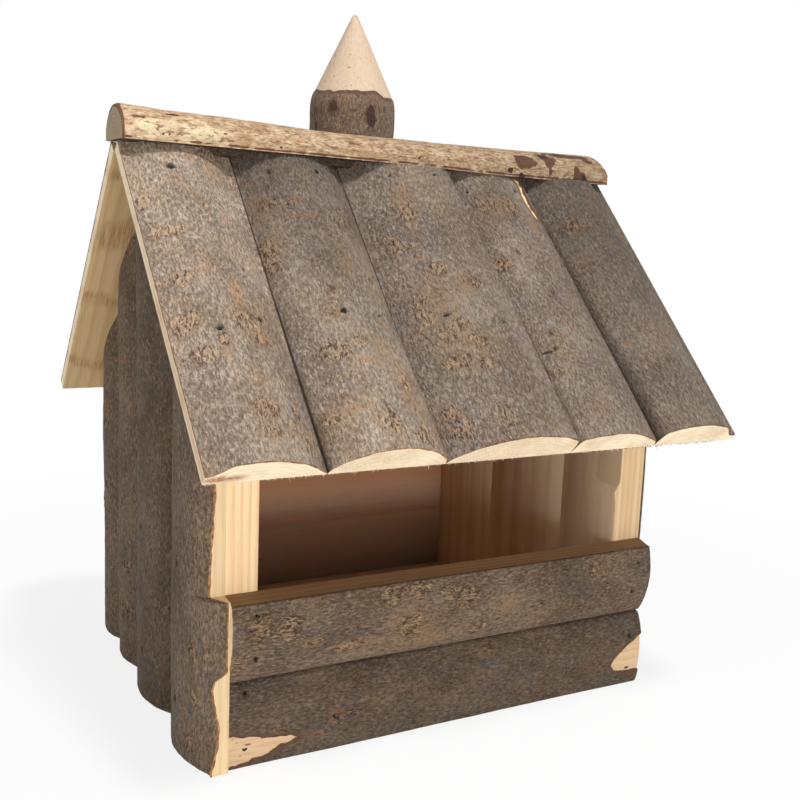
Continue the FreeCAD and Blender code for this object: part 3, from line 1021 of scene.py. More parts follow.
    def _fray(self, stock: Stock) -> None:
        """Adds the torn fibres along the lower edge of the slab's sawn low end.

        Args:
            stock: the slab's mesh.
        """
        source = np.random.RandomState(self.seed + self.FIBRE_SEED)
        bpy.ops.object.select_all(action="DESELECT")
        for k in range(self.splinters):
            long = source.choice(self.FIBRE_LENGTHS, p=self.FIBRE_SHARES) * source.uniform(0.7, 1.2)
            lean = source.normal(0.0, 0.5)
            tip = Vector((math.sin(lean), -0.75, -0.9)).normalized()
            foot = Vector((source.uniform(self.low[0] + 0.6, self.low[1] - 0.6), self.along[0] + 0.05, 0.1))
            turn = tip.to_track_quat("Z", "Y").to_euler()
            bpy.ops.mesh.primitive_cone_add(vertices=3, radius1=source.uniform(0.12, 0.26) * MM, radius2=0.0,
                                            depth=long * MM, location=(foot + tip * long / 2) * MM, rotation=turn)
            if k == 0:
                fibres = bpy.context.object
                bpy.ops.object.transform_apply(location=True, rotation=True, scale=True)
                bpy.ops.object.mode_set(mode="EDIT")
        stock.edit(False)
        stock.pick()
        fibres.select_set(True)
        bpy.ops.object.join()

    def _mark(self, ripple: Ripple, x: Array, y: Array) -> Values:
        """The log's marks.

        Args:
            ripple: the log's own noise.
            x: places across.
            y: places along.

        Returns:
            Each mark's strength at each place, and the relief that the marks add.
        """
        values = {name: np.zeros(x.shape) for name in ("scar", "dark", "rust", "stain", "pit", "rise")}
        rough, ragged = ripple.layers(1.3 * x, 0.8 * y, 2.2, 2), 0.4 * ripple.layers(x, y, 5.0)
        for mark in self.marks:
            far = np.hypot((x - mark.x) / mark.wide, (y - mark.y) / mark.tall)
            mask = mark.share * (1.0 - step(far + ragged, 0.4, 1.2))
            values[mark.kind.value] = np.maximum(values[mark.kind.value], mask)
            values["rise"] += mark.kind.rise * mask * (1.0 + 1.4 * rough)
        return values

    def unrolled(self, x: Array, z: Array) -> Array:
        """Places across as the marks count them."""
        return x

    def surface(self, x: Array, y: Array, z: Optional[Array] = None) -> tuple[Array, Values]:
        """The outer face with its bark.

        Args:
            x: places across.
            y: places along.
            z: heights over the back, or none for the outer face's own.

        Returns:
            Heights over the back, and the values that the finish reads.
        """
        ripple = Ripple(self.seed)
        plain = self.height(x, y)
        values = self._mark(ripple, self.unrolled(x, plain if z is None else z), y)
        bare = np.full(x.shape, self.OUTSIDE)
        for corners in self.bare:
            bare = np.maximum(bare, inside(x, y, corners))
        bare = bare + 0.5 * ripple.layers(x, y, 5.0, 2)
        covered = 1.0 - step(bare, -0.4, 0.5)
        pit = values["pit"]
        for p, q in self.pits:
            pit = np.maximum(pit, 1.0 - step(np.hypot(x - p, (y - q) * 0.8), 0.75, 1.5))
        # Painted shade: a thin dark line along each edge where the slab meets the next, for the shadow in the gap.
        for far, wrapped in zip(self._from_edges(x, y), self.wrapped):
            if wrapped:
                values["dark"] = np.maximum(values["dark"], self.joint_shade * (1.0 - step(far, 0.05, 0.55)))
        swell = self.SWELL * ripple.layers(x, 0.35 * y, 24.0, 2)
        wrinkle = self.WRINKLE * ripple.layers(x, 0.45 * y, 3.2)
        bark = self.relief * (swell + wrinkle) + values["rise"]
        driven = self.PIT_DEPTH * (pit > values["pit"]) * pit
        high = plain + bark * covered - self.BARK * (1.0 - covered) - driven
        values.update(bare=np.clip(bare, -4.0, 4.0), pit=pit)
        return self.trimmed(x, y, high), values

    def _dress(self, stock: Stock, finishes: Finishes, top_faces: int, rim_faces: int) -> None:
        """Gives the slab its finishes and puts it in its place.

        Args:
            stock: the slab's mesh.
            finishes: the house's finishes.
            top_faces: how many faces have bark.
            rim_faces: how many faces there are with the bark's cut edge.
        """
        x, y, z = stock.points().T
        values = self.surface(x, y, z)[1]
        streak = np.zeros(x.shape)
        for p, q, wide, tall in self.streaks:
            streak = np.maximum(streak, 1.0 - step(np.hypot((x - p) / wide, (z - q) / tall), 0.5, 1.2))
        # The points along the sill's edge are painted darker: painted shade under the roof.
        sill = (x < self.low[0] + 0.4) if self.slant else np.zeros(x.shape, bool)
        stock.carry(grain=np.column_stack((x - self.axis, y + self.GRAIN_SHIFT * self.seed,
                                           z + self.radius - self.crown)),
                    marks=np.column_stack((values["scar"], values["dark"], values["rust"])),
                    stain=values["stain"], bare=values["bare"], pit=values["pit"], streak=streak,
                    tone=np.where(sill, self.sill_shade_tone, np.interp(y, self.along, self.tones)))
        self.layers(stock, finishes, top_faces, rim_faces)
        stock.settle(self.place, self.node, self.slot, self.SHARP)

    def layers(self, stock: Stock, finishes: Finishes, top_faces: int, rim_faces: int) -> None:
        """Puts bark, cut bark and sawn wood on the faces.

        Args:
            stock: the slab's mesh.
            finishes: the house's finishes.
            top_faces: how many faces have bark.
            rim_faces: how many faces there are with the bark's cut edge.
        """
        across = read(stock.mesh.polygons, "normal")[:, 0]
        layers = np.full(len(across), 2)
        layers[:rim_faces] = 1
        for side, wrapped in zip((-1.0, 1.0), self.wrapped):
            if wrapped:
                layers[side * across > self.SIDE_FACE] = 0
        for side, cut in ((-1.0, self.slant or self.edge_heights[0]), (1.0, self.edge_heights[1])):
            if cut:
                layers[rim_faces:][side * across[rim_faces:] > self.CUT_FACE] = 3
        layers[:top_faces] = 0
        stock.dress(self.skins(finishes), layers)


def log_radius(width: float, shift: float, crown: float, edge: float) -> float:
    """The radius of a log that gives a slab its crown and its thinner edge."""
    drop = crown - edge
    return ((width / 2 + abs(shift)) ** 2 + drop ** 2) / (2 * drop)


@dataclass
class RoofSlab(HalfLog):
    """A roof slab, trimmed level under the ridge cap."""

    mirrored: bool = False

    def skins(self, finishes: Finishes) -> Skins:
        """The finishes of the outer face, its thin edge, the sawn wood and the slope's outer side."""
        sawn = finishes.rear_sawn if self.mirrored else finishes.sawn
        return finishes.bark, finishes.inner_bark, sawn, finishes.sawn

    def trimmed(self, x: Array, y: Array, z: Array) -> Array:
        """The outer face after its edges are rolled over and its top is trimmed level to the cap's seat.

        Args:
            x: places across.
            y: places along.
            z: heights over the back.

        Returns:
            The heights that are left.
        """
        seat_height = HOUSE.seat_at(-x if self.mirrored else x)
        limit = (seat_height - HOUSE.ridge - y * math.sin(HOUSE.pitch)) / math.cos(HOUSE.pitch)
        return np.maximum(np.minimum(super().trimmed(x, y, z), limit), THINNEST)


@dataclass
class RoofSlope:
    """One slope of the roof: five half-log slabs side by side."""

    name: str
    rear: bool
    top: Sequence[float]
    eave: Sequence[float]
    logs: Sequence[tuple[float, float, float]]
    tones: Sequence[Spot]
    marks: Sequence[Sequence[Mark]]
    mesh_size: float
    seed: int
    splinters: int = 0
    stripped: Mapping[int, Sequence[Spot]] = field(default_factory=dict)
    streaked: Mapping[int, tuple[float, float, float, float]] = field(default_factory=dict)
    length: float = 162.0
    ridge_gap: float = 2.0
    thinning: float = 5.5
    left_edge: float = 5.8
    right_edge: float = 4.5

    def build(self, finishes: Finishes) -> None:
        """Models and dresses the slope's slabs.

        Args:
            finishes: the house's finishes.
        """
        cos, sin = math.cos(HOUSE.pitch), math.sin(HOUSE.pitch)
        turn = -1.0 if self.rear else 1.0
        place = seat((turn, 0, 0), (0, turn * cos, sin), (0, -turn * sin, cos), (0, 0, HOUSE.ridge))
        spots = driven_spots(f"roof_{self.name}_brads", place)
        last = len(self.logs) - 1
        for k, (crown, edge, shift) in enumerate(self.logs):
            low, high = (tuple(sorted((turn * row[k], turn * row[k + 1]))) for row in (self.eave, self.top))
            ends = (self.left_edge if k == 0 else 0.0, self.right_edge if k == last else 0.0)
            wrapped = (k > 0, k < last)
            RoofSlab(f"roof_{self.name}_slab_{k + 1}", place, low, high, (-self.length, -self.ridge_gap),
                     (sum(low) + sum(high)) / 4 + turn * shift, crown,
                     log_radius(low[1] - low[0], shift, crown, edge), self.mesh_size, self.seed + k,
                     self.tones[k], self.thinning, wrapped=wrapped[::-1] if self.rear else wrapped,
                     edge_heights=ends[::-1] if self.rear else ends, roll=1.7, roll_floor=0.0, joint_shade=0.9,
                     splinters=self.splinters, marks=self.marks[k],
                     bare=[self.stripped[k]] if k in self.stripped else (),
                     pits=[s for s in spots if self.rear and low[0] < s[0] < low[1]],
                     streaks=[self.streaked[k]] if k in self.streaked else (), mirrored=self.rear).build(finishes)


@dataclass
class SideSlab(HalfLog):
    """An upright slab on a side wall, whose top follows the roof."""

    lap: float = 0.0

    FACE_HEIGHTS = (0.0, 2.0, 11.6, 20.3, 26.5, 36.0, 39.5, 43.0, 71.1, 71.2, 75.0, 115.0, 125.0)
    FACE_DEPTHS = (7.6, 7.6, 5.2, 4.5, 6.0, 7.6, 6.5, 1.4, 1.4, 6.8, 6.8, 4.8, 4.5)
    FACE_WIDTH = 7.0
    LAP_SHARE = 0.45
    ROOF_GAP = 0.4

    def skins(self, finishes: Finishes) -> Skins:
        """The finishes of the outer face, its thin edge and the bright cut wood."""
        return finishes.front_bark if self.front else finishes.bark, finishes.inner_bark, finishes.facet

    def outline(self, a: Array, b: Array) -> tuple[Array, Array]:
        """Where the sheet's points lie: up to the roof, and set back over the lap.

        Args:
            a: shares across, 0 to 1.
            b: shares along, 0 to 1.

        Returns:
            Places across and along.
        """
        left, right = self.low
        if not self.lap:
            x = left + (right - left) * a
            return x, b * (HOUSE.roof_at(x) - self.ROOF_GAP)
        rows = len(np.unique(np.round(b, 6))) - 1
        split = round(self.LAP_SHARE * rows) / rows
        x = left + (np.where(b < split + 1e-4, right, right - self.lap) - left) * a
        over = (HOUSE.roof_at(x) - self.ROOF_GAP - HOUSE.sill) * (b - split) / (1.0 - split)
        return x, HOUSE.sill * np.minimum(b / split, 1.0) + np.maximum(over, 0.0)

    def sides(self, y: Array) -> tuple[Array, Array]:
        """The slab's left and right edges at a height, set back over the lap."""
        left, right = self.low
        return np.full(y.shape, left), np.where(y < HOUSE.sill + 1e-3, right, right - self.lap)

    def trimmed(self, x: Array, y: Array, z: Array) -> Array:
        """The outer face, with the first slab's front edge cut flat in places and rolled over in others.

        Args:
            x: places across.
            y: places along.
            z: heights over the back.

        Returns:
            The heights that are left.
        """
        z = super().trimmed(x, y, z)
        if self.lap:
            far = np.clip((self.sides(y)[1] - x) / self.FACE_WIDTH, 0.0, 1.0)
            depth = np.interp(y, self.FACE_HEIGHTS, self.FACE_DEPTHS)
            z = depth + (z - depth) * np.sqrt(1.0 - (1.0 - far) ** 2)
        return np.maximum(z, THINNEST)


@dataclass
class SideCladding:
    """The upright slabs on one side wall."""

    name: str
    right: bool
    edges: Sequence[float]
    logs: Sequence[tuple[float, float, float]]
    tones: Sequence[float]
    marks: Sequence[Sequence[Mark]]
    seed: int
    lap: float = 0.0
    mesh_size: float = 0.85

    def build(self, finishes: Finishes) -> None:
        """Models and dresses the side's slabs.

        Args:
            finishes: the house's finishes.
        """
        turn = 1.0 if self.right else -1.0
        place = seat((0, turn, 0), (0, 0, 1), (turn, 0, 0), (turn * HOUSE.half_width, 0, 0))
        spots = driven_spots(f"{self.name}_slab_brads", place)
        for k, (crown, edge, shift) in enumerate(self.logs):
            low = tuple(sorted((turn * self.edges[k], turn * self.edges[k + 1])))
            lap = self.lap if k == 0 else 0.0
            SideSlab(f"{self.name}_slab_{k + 1}", place, low, low, (0.0, float(HOUSE.roof_at(np.array(low)).max())),
                     sum(low) / 2 + turn * shift, crown, log_radius(low[1] - low[0], shift, crown, edge),
                     self.mesh_size, self.seed + k, (self.tones[k], self.tones[k]),
                     wrapped=(True, not lap), joint_shade=0.6, front=not self.right, marks=self.marks[k],
                     pits=[s for s in spots if low[0] < s[0] < low[1]], lap=lap).build(finishes)


@dataclass
class FrontSlabs:
    """The two level slabs across the front, under the opening."""

    marks: Sequence[Sequence[Mark]]
    names: Sequence[str] = ("lower", "upper")
    heights: Sequence[float] = (0.0, 35.9, 71.1)
    logs: Sequence[tuple[float, float, float]] = ((8.0, 3.4, -1.8), (10.5, 3.5, 5.0))
    tones: Sequence[Spot] = ((1.1, 0.9), (1.62, 1.3))
    sill_falls: Spot = (0.0, 2.0)
    mesh_size: float = 0.65
    seed: int = 201
    bare: Sequence[Sequence[Sequence[Spot]]] = (
        (((-15.8, -107.0), (-12.0, -90.0), (-11.0, -80.0), (-9.3, -75.5), (-7.8, -82.0), (-3.2, -91.0),
          (-0.7, -107.0)),
         ((-25.5, 107.0), (-19.5, 97.0), (-15.8, 91.0), (-11.5, 88.5), (-8.0, 91.0), (-6.3, 107.0))), ())

    def build(self, finishes: Finishes) -> None:
        """Models and dresses both slabs.

        Args:
            finishes: the house's finishes.
        """
        place = seat((0, 0, -1), (1, 0, 0), (0, -1, 0), (0, HOUSE.front, 0))
        for k, (crown, edge, shift) in enumerate(self.logs):
            top, foot = -self.heights[k + 1], -self.heights[k]
            low = (top + 0.6 * self.sill_falls[k], foot)
            HalfLog(f"front_slab_{self.names[k]}", place, low, low, (-HOUSE.half_width, HOUSE.half_width),
                    (top + foot) / 2 - shift, crown, log_radius(foot - top, shift, crown, edge), self.mesh_size,
                    self.seed + k, self.tones[k], wrapped=(k == 0, k == 1), slant=self.sill_falls[k], roll=1.4,
                    roll_floor=0.55, front=True, marks=self.marks[k], bare=self.bare[k]).build(finishes)


@dataclass
class RidgeCap(HalfLog):
    """The half-round branch that covers the ridge, mostly peeled."""

    node: str = "ridge_cap"
    place: Matrix = field(default_factory=cap_frame)
    low: Spot = (-13.5, 13.5)
    high: Spot = (-13.5, 13.5)
    along: Spot = (-129.5, 124.5)
    axis: float = 0.0
    crown: float = 15.0
    radius: float = 14.0
    mesh_size: float = 0.6
    seed: int = 301
    tones: Spot = (0.88, 0.5)
    relief: float = 0.8
    slot: str = "peeled_branch"
    rim: float = 1.0
    right_slope: float = 6.5
    sag_places: Sequence[float] = (-129.5, -110.0, -80.0, -60.0, -40.0, 0.0, 30.0, 50.0, 75.0, 95.0, 115.0)
    sags: Sequence[float] = (0.0, -0.8, -1.2, -2.0, -2.6, -2.7, -2.4, -1.6, -0.9, -0.3, 0.0)
    dip: float = 1.0
    dip_length: float = 60.0
    keel_width: float = 0.33
    keel_length: float = 0.88
    keel_drop: float = 3.2

    BARK_SEED = 7
    END_FACE = 0.6

    def outline(self, a: Array, b: Array) -> tuple[Array, Array]:
        """Where the sheet's points lie, closer together at the branch's steep sides and sloped at its right end.

        Args:
            a: shares across, 0 to 1.
            b: shares along, 0 to 1.

        Returns:
            Places across and along.
        """
        x = -self.low[1] * np.cos(math.pi * a)
        end = self.along[1] - self.right_slope * (1.0 - (x / (self.radius + 0.5)) ** 2) ** 0.75
        return x, self.along[0] + (end - self.along[0]) * b

    def height(self, x: Array, y: Array) -> Array:
        """The branch's round back, a little thinner about its middle."""
        sag = np.interp(y, self.sag_places, self.sags) * (1.0 - np.abs(x / self.radius) ** 3)
        return self.rim + np.sqrt(np.maximum(self.radius ** 2 - x ** 2, 0.5)) + sag

    def dipped(self, y: Array) -> Array:
        """How far the branch lies below its seat, which its right half has sunk from."""
        return self.dip * step(y, 0.0, self.dip_length)

    def trimmed(self, x: Array, y: Array, z: Array) -> Array:
        """The branch's outer face, rounded over at its sawn left end."""
        return np.maximum(z - 0.8 * (1.0 - step(y - self.along[0], 0.0, 1.6)), THINNEST)

    def surface(self, x: Array, y: Array, z: Optional[Array] = None) -> tuple[Array, Values]:
        """The branch's outer face, with bark left on its lower edges and round its left end.

        Args:
            x: places across.
            y: places along.
            z: heights over the back, or none for the outer face's own.

        Returns:
            Heights over the back, and the values that the finish reads.
        """
        high, values = super().surface(x, y, z)
        ragged = Ripple(self.seed + self.BARK_SEED).layers(x, y, 6.0)
        level = high if z is None else z
        low = (1.0 - step(level + 0.5 * ragged, 0.7, 1.5)) * (level > 0.02)
        end = 1.0 - step(y - self.along[0] + 0.4 * ragged, 0.6, 1.3)
        values["stain"] = np.maximum(values["stain"], np.maximum(0.9 * low, end))
        return high, values

    def unrolled(self, x: Array, z: Array) -> Array:
        """Places across, measured along the round of the branch from its top."""
        return self.radius * np.arctan2(x, z - self.rim)

    def underside(self, stock: Stock) -> None:
        """Lets the middle of the back down between the roof slabs, so that no light passes under the branch.

        Args:
            stock: the branch's mesh, in edit mode with its back selected.
        """
        for width, length, drop in ((self.keel_width, self.keel_length, 0.0), (1.0, 1.0, self.keel_drop)):
            start = stock.extrude()
            points = stock.points()
            points[start:] = points[start:] * (width, length, 1.0) - (0.0, 0.0, drop)
            stock.shape(points)
            stock.edit()

    def layers(self, stock: Stock, finishes: Finishes, top_faces: int, rim_faces: int) -> None:
        """Puts peeled wood on the branch, grey end grain on its ends and dark bark on its keel as painted shade, and
        lets it sink on the roof.

        Args:
            stock: the branch's mesh.
            finishes: the house's finishes.
            top_faces: how many faces the round back has; not used.
            rim_faces: how many faces there are with its rim.
        """
        layers = np.where(np.abs(read(stock.mesh.polygons, "normal")[:, 1]) > self.END_FACE, 1, 0)
        layers[:rim_faces] = 0
        # The keel's faces get the dark front bark: painted shade for the dark gaps under the branch between the roof
        # slabs.
        layers[rim_faces:][read(stock.mesh.polygons, "center")[rim_faces:, 2] < 0.02 * MM] = 2
        stock.dress((finishes.peeled, finishes.grey_end, finishes.front_bark), layers)
        points = stock.points()
        points[:, 2] -= self.dipped(points[:, 1])
        stock.shape(points)


@dataclass
class CapNails:
    """The nails through the ridge cap, driven until their heads lie under its worn top."""

    cap: RidgeCap
    node: str = "ridge_cap_nails"
    sides: int = 20
    face: float = 1.9
    set_in: float = 0.9
    rings: Sequence[Spot] = ((2.2, -0.25), (2.2, -1.0), (1.0, -1.2), (1.0, -27.5), (0.2, -30.0))
    sharp: float = 35.0

    def build(self, finishes: Finishes) -> None:
        """Models one nail and copies it to each place.

        Args:
            finishes: the house's finishes.
        """
        first = self._nail()
        copies = []
        for x, y in driven_spots(self.node, self.cap.place):
            first.pick()
            bpy.ops.object.duplicate(linked=False)
            top = self.cap.height(np.array(x), np.array(y)) - self.cap.dipped(np.array(y)) - self.set_in
            bpy.ops.transform.translate(value=(x * MM, y * MM, float(top) * MM))
            bpy.ops.object.transform_apply(location=True, rotation=True, scale=True)
            copies.append(bpy.context.object)
        bpy.data.objects.remove(first.object)
        for copy in copies:
            copy.select_set(True)
        bpy.context.view_layer.objects.active = copies[0]
        bpy.ops.object.join()
        stock = Stock(self.node)
        stock.dress((finishes.steel,))
        stock.settle(self.cap.place, self.node, "steel", self.sharp)

    def _nail(self) -> Stock:
        """One nail, its head at the origin and its point downwards.

        Returns:
            The nail.
        """
        bpy.ops.object.select_all(action="DESELECT")
        bpy.ops.mesh.primitive_circle_add(vertices=self.sides, radius=self.face * MM, fill_type="NGON")
        stock = Stock(self.node)
        round_about = stock.points() / self.face
        stock.edit()
        bpy.ops.mesh.select_all(action="SELECT")
        for radius, level in self.rings:
            start = stock.extrude()
            points = stock.points()
            points[start:] = round_about * radius + (0.0, 0.0, level)
            stock.shape(points)
            stock.edit()
        stock.edit(False)
        stock.outward()
        return stock


@dataclass
class Chimney:
    """A round log with a cut point, its foot let into the rear slope."""

    x: float = -2.2
    y: float = 34.9
    radius: float = 21.4
    tip: float = 319.3
    columns: int = 192
    bark_rows: int = 84
    cone_rows: int = 64
    foot_gap: float = 3.0
    roll_start: float = 271.0
    roll: float = 10.6
    roll_depth: float = 2.0
    tip_share: float = 0.955
    bark_inset: float = 0.3
    cone_inset: float = 0.4
    grain_shift: float = 61.0
    seed: int = 401
    sharp: float = 40.0
    turns: Sequence[float] = (-3.1416, -2.52, -2.12, -1.48, -1.19, -0.73, 0.0, 0.8, 1.6, 2.4, 3.1416)
    borders: Sequence[float] = (281.6, 279.6, 280.5, 281.0, 278.7, 278.4, 279.5, 280.5, 281.5, 280.5, 281.6)
    knots: Sequence[tuple[float, float, float, float, float]] = (
        (-2.48, 273.8, 5.2, 4.8, 0.45), (-2.46, 273.2, 2.6, 2.6, 0.8), (-1.60, 269.2, 3.4, 6.4, 0.95),
        (-3.02, 264.6, 1.6, 2.6, 0.8), (-1.98, 271.3, 1.8, 1.2, 0.4), (0.4, 268.0, 3.0, 4.0, 0.8),
        (1.8, 255.0, 3.0, 4.5, 0.8))

    @staticmethod
    def _around(turn: Array) -> tuple[Array, Array]:
        """Places on a round walk through the noise, so that it meets itself."""
        return 60.0 + 20.0 * np.cos(turn), 60.0 + 20.0 * np.sin(turn)

    @staticmethod
    def _half_turns(turn: Array) -> Array:
        """Angles between minus and plus half a turn."""
        return (turn + math.pi) % (2.0 * math.pi) - math.pi

    def border(self, turn: Array) -> Array:
        """The height at which the bark ends, round the log."""
        ragged = 0.5 * Ripple(self.seed).layers(*self._around(turn), 6.0)
        return np.interp(self._half_turns(turn), self.turns, self.borders) + ragged

    def rolled(self, z: Array) -> Array:
        """How far the bark draws in at a height near its upper end."""
        return self.roll_depth * np.clip((z - self.roll_start) / self.roll, 0.0, 1.0) ** 2.5

    def build(self, finishes: Finishes) -> None:
        """Models and dresses the log.

        Args:
            finishes: the house's finishes.
        """
        rows = self.bark_rows + self.cone_rows
        stock = Stock.grid("chimney_log_log", self.columns, rows)
        share = stock.points() * MM + 0.5
        turn = 2.0 * math.pi * share[:, 0]
        row = np.rint(share[:, 1] * rows)
        ripple = Ripple(self.seed + 1)
        u, v = self._around(turn)
        border = self.border(turn)
        foot = HOUSE.roof_at(self.y + self.radius * np.sin(turn)) + self.foot_gap
        low = np.clip(row / self.bark_rows, 0.0, 1.0)
        high = np.clip((row - self.bark_rows) / self.cone_rows, 0.0, 1.0)
        z = foot + (border - foot) * low + (self.tip - border) * high
        bark = 0.35 * ripple.layers(u, 0.5 * z, 9.0, 2) + 0.2 * ripple.layers(v + 0.5 * z, u, 3.0)
        facet = 0.07 * np.cos(11.0 * turn + 2.0 * ripple.wave(u, v, 20.0)) * (1.0 - high) * step(high, 0.0, 0.2)
        cone = (self.radius - self.cone_inset - self.rolled(border)) * (1.0 - self.tip_share * high) + facet
        blunt = np.clip((high - self.tip_share) / (1.0 - self.tip_share), 0.0, 1.0)
        cone = np.maximum(cone * np.sqrt(1.0 - blunt ** 2), 0.0)
        radius = np.where(row <= self.bark_rows, self.radius - self.bark_inset + bark - self.rolled(z), cone)
        stock.shape(np.column_stack((self.x + radius * np.cos(turn), self.y + radius * np.sin(turn), z)))
        stock.edit()
        bpy.ops.mesh.select_all(action="SELECT")
        bpy.ops.mesh.remove_doubles(threshold=0.02 * MM)
        stock.select_border()
        bpy.ops.mesh.edge_face_add()
        stock.edit(False)
        stock.outward()
        self._dress(stock, finishes)

    def _dress(self, stock: Stock, finishes: Finishes) -> None:
        """Gives the log its bark, its pale point and its knots.

        Args:
            stock: the log's mesh.
            finishes: the house's finishes.
        """
        x, y, z = stock.points().T
        turn = np.arctan2(y - self.y, x - self.x)
        ragged = 0.25 * Ripple(self.seed + 2).layers(20.0 * turn, z, 4.0)
        zero = np.zeros(x.shape)
        knot = zero
        for side, height, wide, tall, strength in self.knots:
            far = np.hypot(self._half_turns(turn - side) * self.radius / wide, (z - height) / tall)
            knot = np.maximum(knot, strength * (1.0 - step(far + ragged, 0.5, 1.1)))
        over = z - self.border(turn)
        stock.carry(grain=np.column_stack((x - self.x, z + self.grain_shift * self.seed, y - self.y)),
                    marks=np.column_stack((zero, knot, zero)), stain=0.4 * step(over, -9.0, -2.0),
                    bare=np.clip(over - 0.4, -4.0, 4.0), pit=zero, tone=1.0)
        stock.dress((finishes.log_bark,))
        stock.settle(Matrix.Identity(4), "chimney_log", "sharpened_log", self.sharp)


class Run(Enum):
    """Which way a board's grain runs."""

    X = 0
    Z = 2


@dataclass
class Carcass:
    """The sawn boards of the box."""

    bevel: float = 0.5
    knot_board: str = "right_wall_front_board"
    knot_heights: Sequence[float] = (60.0, 72.0, 89.0, 96.0, 101.0)
    knot_rises: Sequence[float] = (0.0, 2.2, 2.2, 3.0, 0.0)
    boards: Sequence[tuple[str, Run, Spot, Spot, int]] = (
        ("left_wall_front_board", Run.Z, (-160.0, -60.0), (1.0, 1.0), 3),
        # The right wall's boards are painted darker towards the opening: painted shade that evens out the light
        # falling in through it.
        ("right_wall_front_board", Run.Z, (150.0, -70.0), (0.78, 0.78), 7),
        ("left_wall_middle_board", Run.Z, (-160.0, -20.0), (1.0, 1.0), 4),
        ("right_wall_middle_board", Run.Z, (150.0, -40.0), (0.86, 0.86), 8),
        ("left_wall_rear_board", Run.Z, (-160.0, 20.0), (1.0, 1.0), 5),
        ("right_wall_rear_board", Run.Z, (150.0, -10.0), (0.95, 0.95), 9),
        # The back boards' tones are painted shade: the lower board darkens towards its foot behind the front slabs,
        # the middle one towards its top under the roof.
        ("back_board_lower", Run.X, (128.0, 30.0), (0.06, 1.05), 13),
        ("back_board_middle", Run.X, (128.0, 75.0), (1.2, 0.013), 14),
        ("back_board_upper", Run.X, (128.0, 120.0), (0.6, 0.9), 15),
        ("floor_board", Run.X, (10.0, -40.0), (0.9, 0.9), 17))
    outside_tone: float = 0.95
    wall_height: float = 100.0
    grain_shift: float = 173.0
    sharp: float = 30.0

    def build(self, finishes: Finishes) -> None:
        """Models and dresses all boards.

        Args:
            finishes: the house's finishes.
        """
        for row in self.boards:
            self.board(*row, finishes)

    def board(self, node: str, run: Run, heart: Spot, tones: Spot, seed: int, finishes: Finishes) -> None:
        """Models and dresses one board.

        Args:
            node: the board's node.
            run: which way its grain runs.
            heart: the log's heart in the two other directions.
            tones: how bright the wood is painted at its foot and at its top, which on the back boards and the right
                wall is painted shade.
            seed: the number that sets its grain apart.
            finishes: the house's finishes.
        """
        stock, low, high = self._cut(node)
        points = stock.points()
        left, right = (points[:, k] - at for k, at in zip((k for k in range(3) if k != run.value), heart))
        outside = points[:, 1] > (low.y + high.y) / (2.0 * MM)
        shade = np.exp(np.interp(points[:, 2], (low.z / MM, high.z / MM), np.log(tones)))
        stock.carry(grain=np.column_stack((left, points[:, run.value] + self.grain_shift * seed, right)),
                    tone=np.where(outside, min(max(tones), self.outside_tone), shade), streak=0.0)
        front = finishes.back if node.startswith("back_") else finishes.board
        front = finishes.shaded_low_back if node == "back_board_lower" else front
        forward = read(stock.mesh.polygons, "normal")[:, 1] < -0.3
        stock.dress((front, finishes.inside), np.where(forward, 0, 1))
        stock.settle(Matrix.Identity(4), node, "sawn_pine", self.sharp)

    def _cut(self, node: str) -> tuple[Stock, Vector, Vector]:
        """Models one board, cut under the roof where it reaches that high.

        Args:
            node: the board's node.

        Returns:
            The board, and the lowest and highest corners of the block that it was cut from.
        """
        low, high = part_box(node)
        if high.z > self.wall_height * MM:
            high.z = max(high.z, HOUSE.ridge * MM)
        stock = Stock.block(f"{node}_sawn", low, high)
        stock.edit()
        for side in (-1.0, 1.0):
            bpy.ops.mesh.select_all(action="SELECT")
            bpy.ops.mesh.bisect(plane_co=(0.0, 0.0, HOUSE.ridge * MM),
                                plane_no=(0.0, side * math.sin(HOUSE.pitch), math.cos(HOUSE.pitch)),
                                use_fill=True, clear_outer=True)
        for height in self.knot_heights if node == self.knot_board else ():
            bpy.ops.mesh.select_all(action="SELECT")
            bpy.ops.mesh.bisect(plane_co=(0.0, 0.0, height * MM), plane_no=(0.0, 0.0, 1.0))
        stock.edit(False)
        if node == self.knot_board:
            points = stock.points()
            corner = np.hypot(points[:, 0] - low.x / MM, points[:, 1] - low.y / MM) < 0.1
            points[:, 0] -= corner * np.interp(points[:, 2], self.knot_heights, self.knot_rises)
            stock.shape(points)
        rounding = stock.object.modifiers.new("rounding", "BEVEL")
        rounding.width, rounding.segments, rounding.limit_method = self.bevel * MM, 2, "ANGLE"
        bpy.ops.object.modifier_apply(modifier=rounding.name)
        return stock, low, high


@dataclass
class Fittings:
    """The nodes whose shape is right as it is: fasteners and the timbers inside the roof."""

    steel: Sequence[str] = ("roof_front_brads", "roof_rear_brads", "left_slab_brads", "right_slab_brads",
                            "front_slab_brads", "back_board_nails", "floor_nails", "beam_nails", "chimney_screw")
    timbers: Sequence[str] = ("ridge_beam", "front_purlin", "rear_purlin")

    def dress(self, finishes: Finishes) -> None:
        """Gives these nodes their finishes.

        Args:
            finishes: the house's finishes.
        """
        for names, skin in ((self.steel, finishes.steel), (self.timbers, finishes.beam)):
            for name in names:
                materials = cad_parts[name].data.materials
                materials.clear()
                materials.append(skin)
                LOG.info("%s: dressed", name)


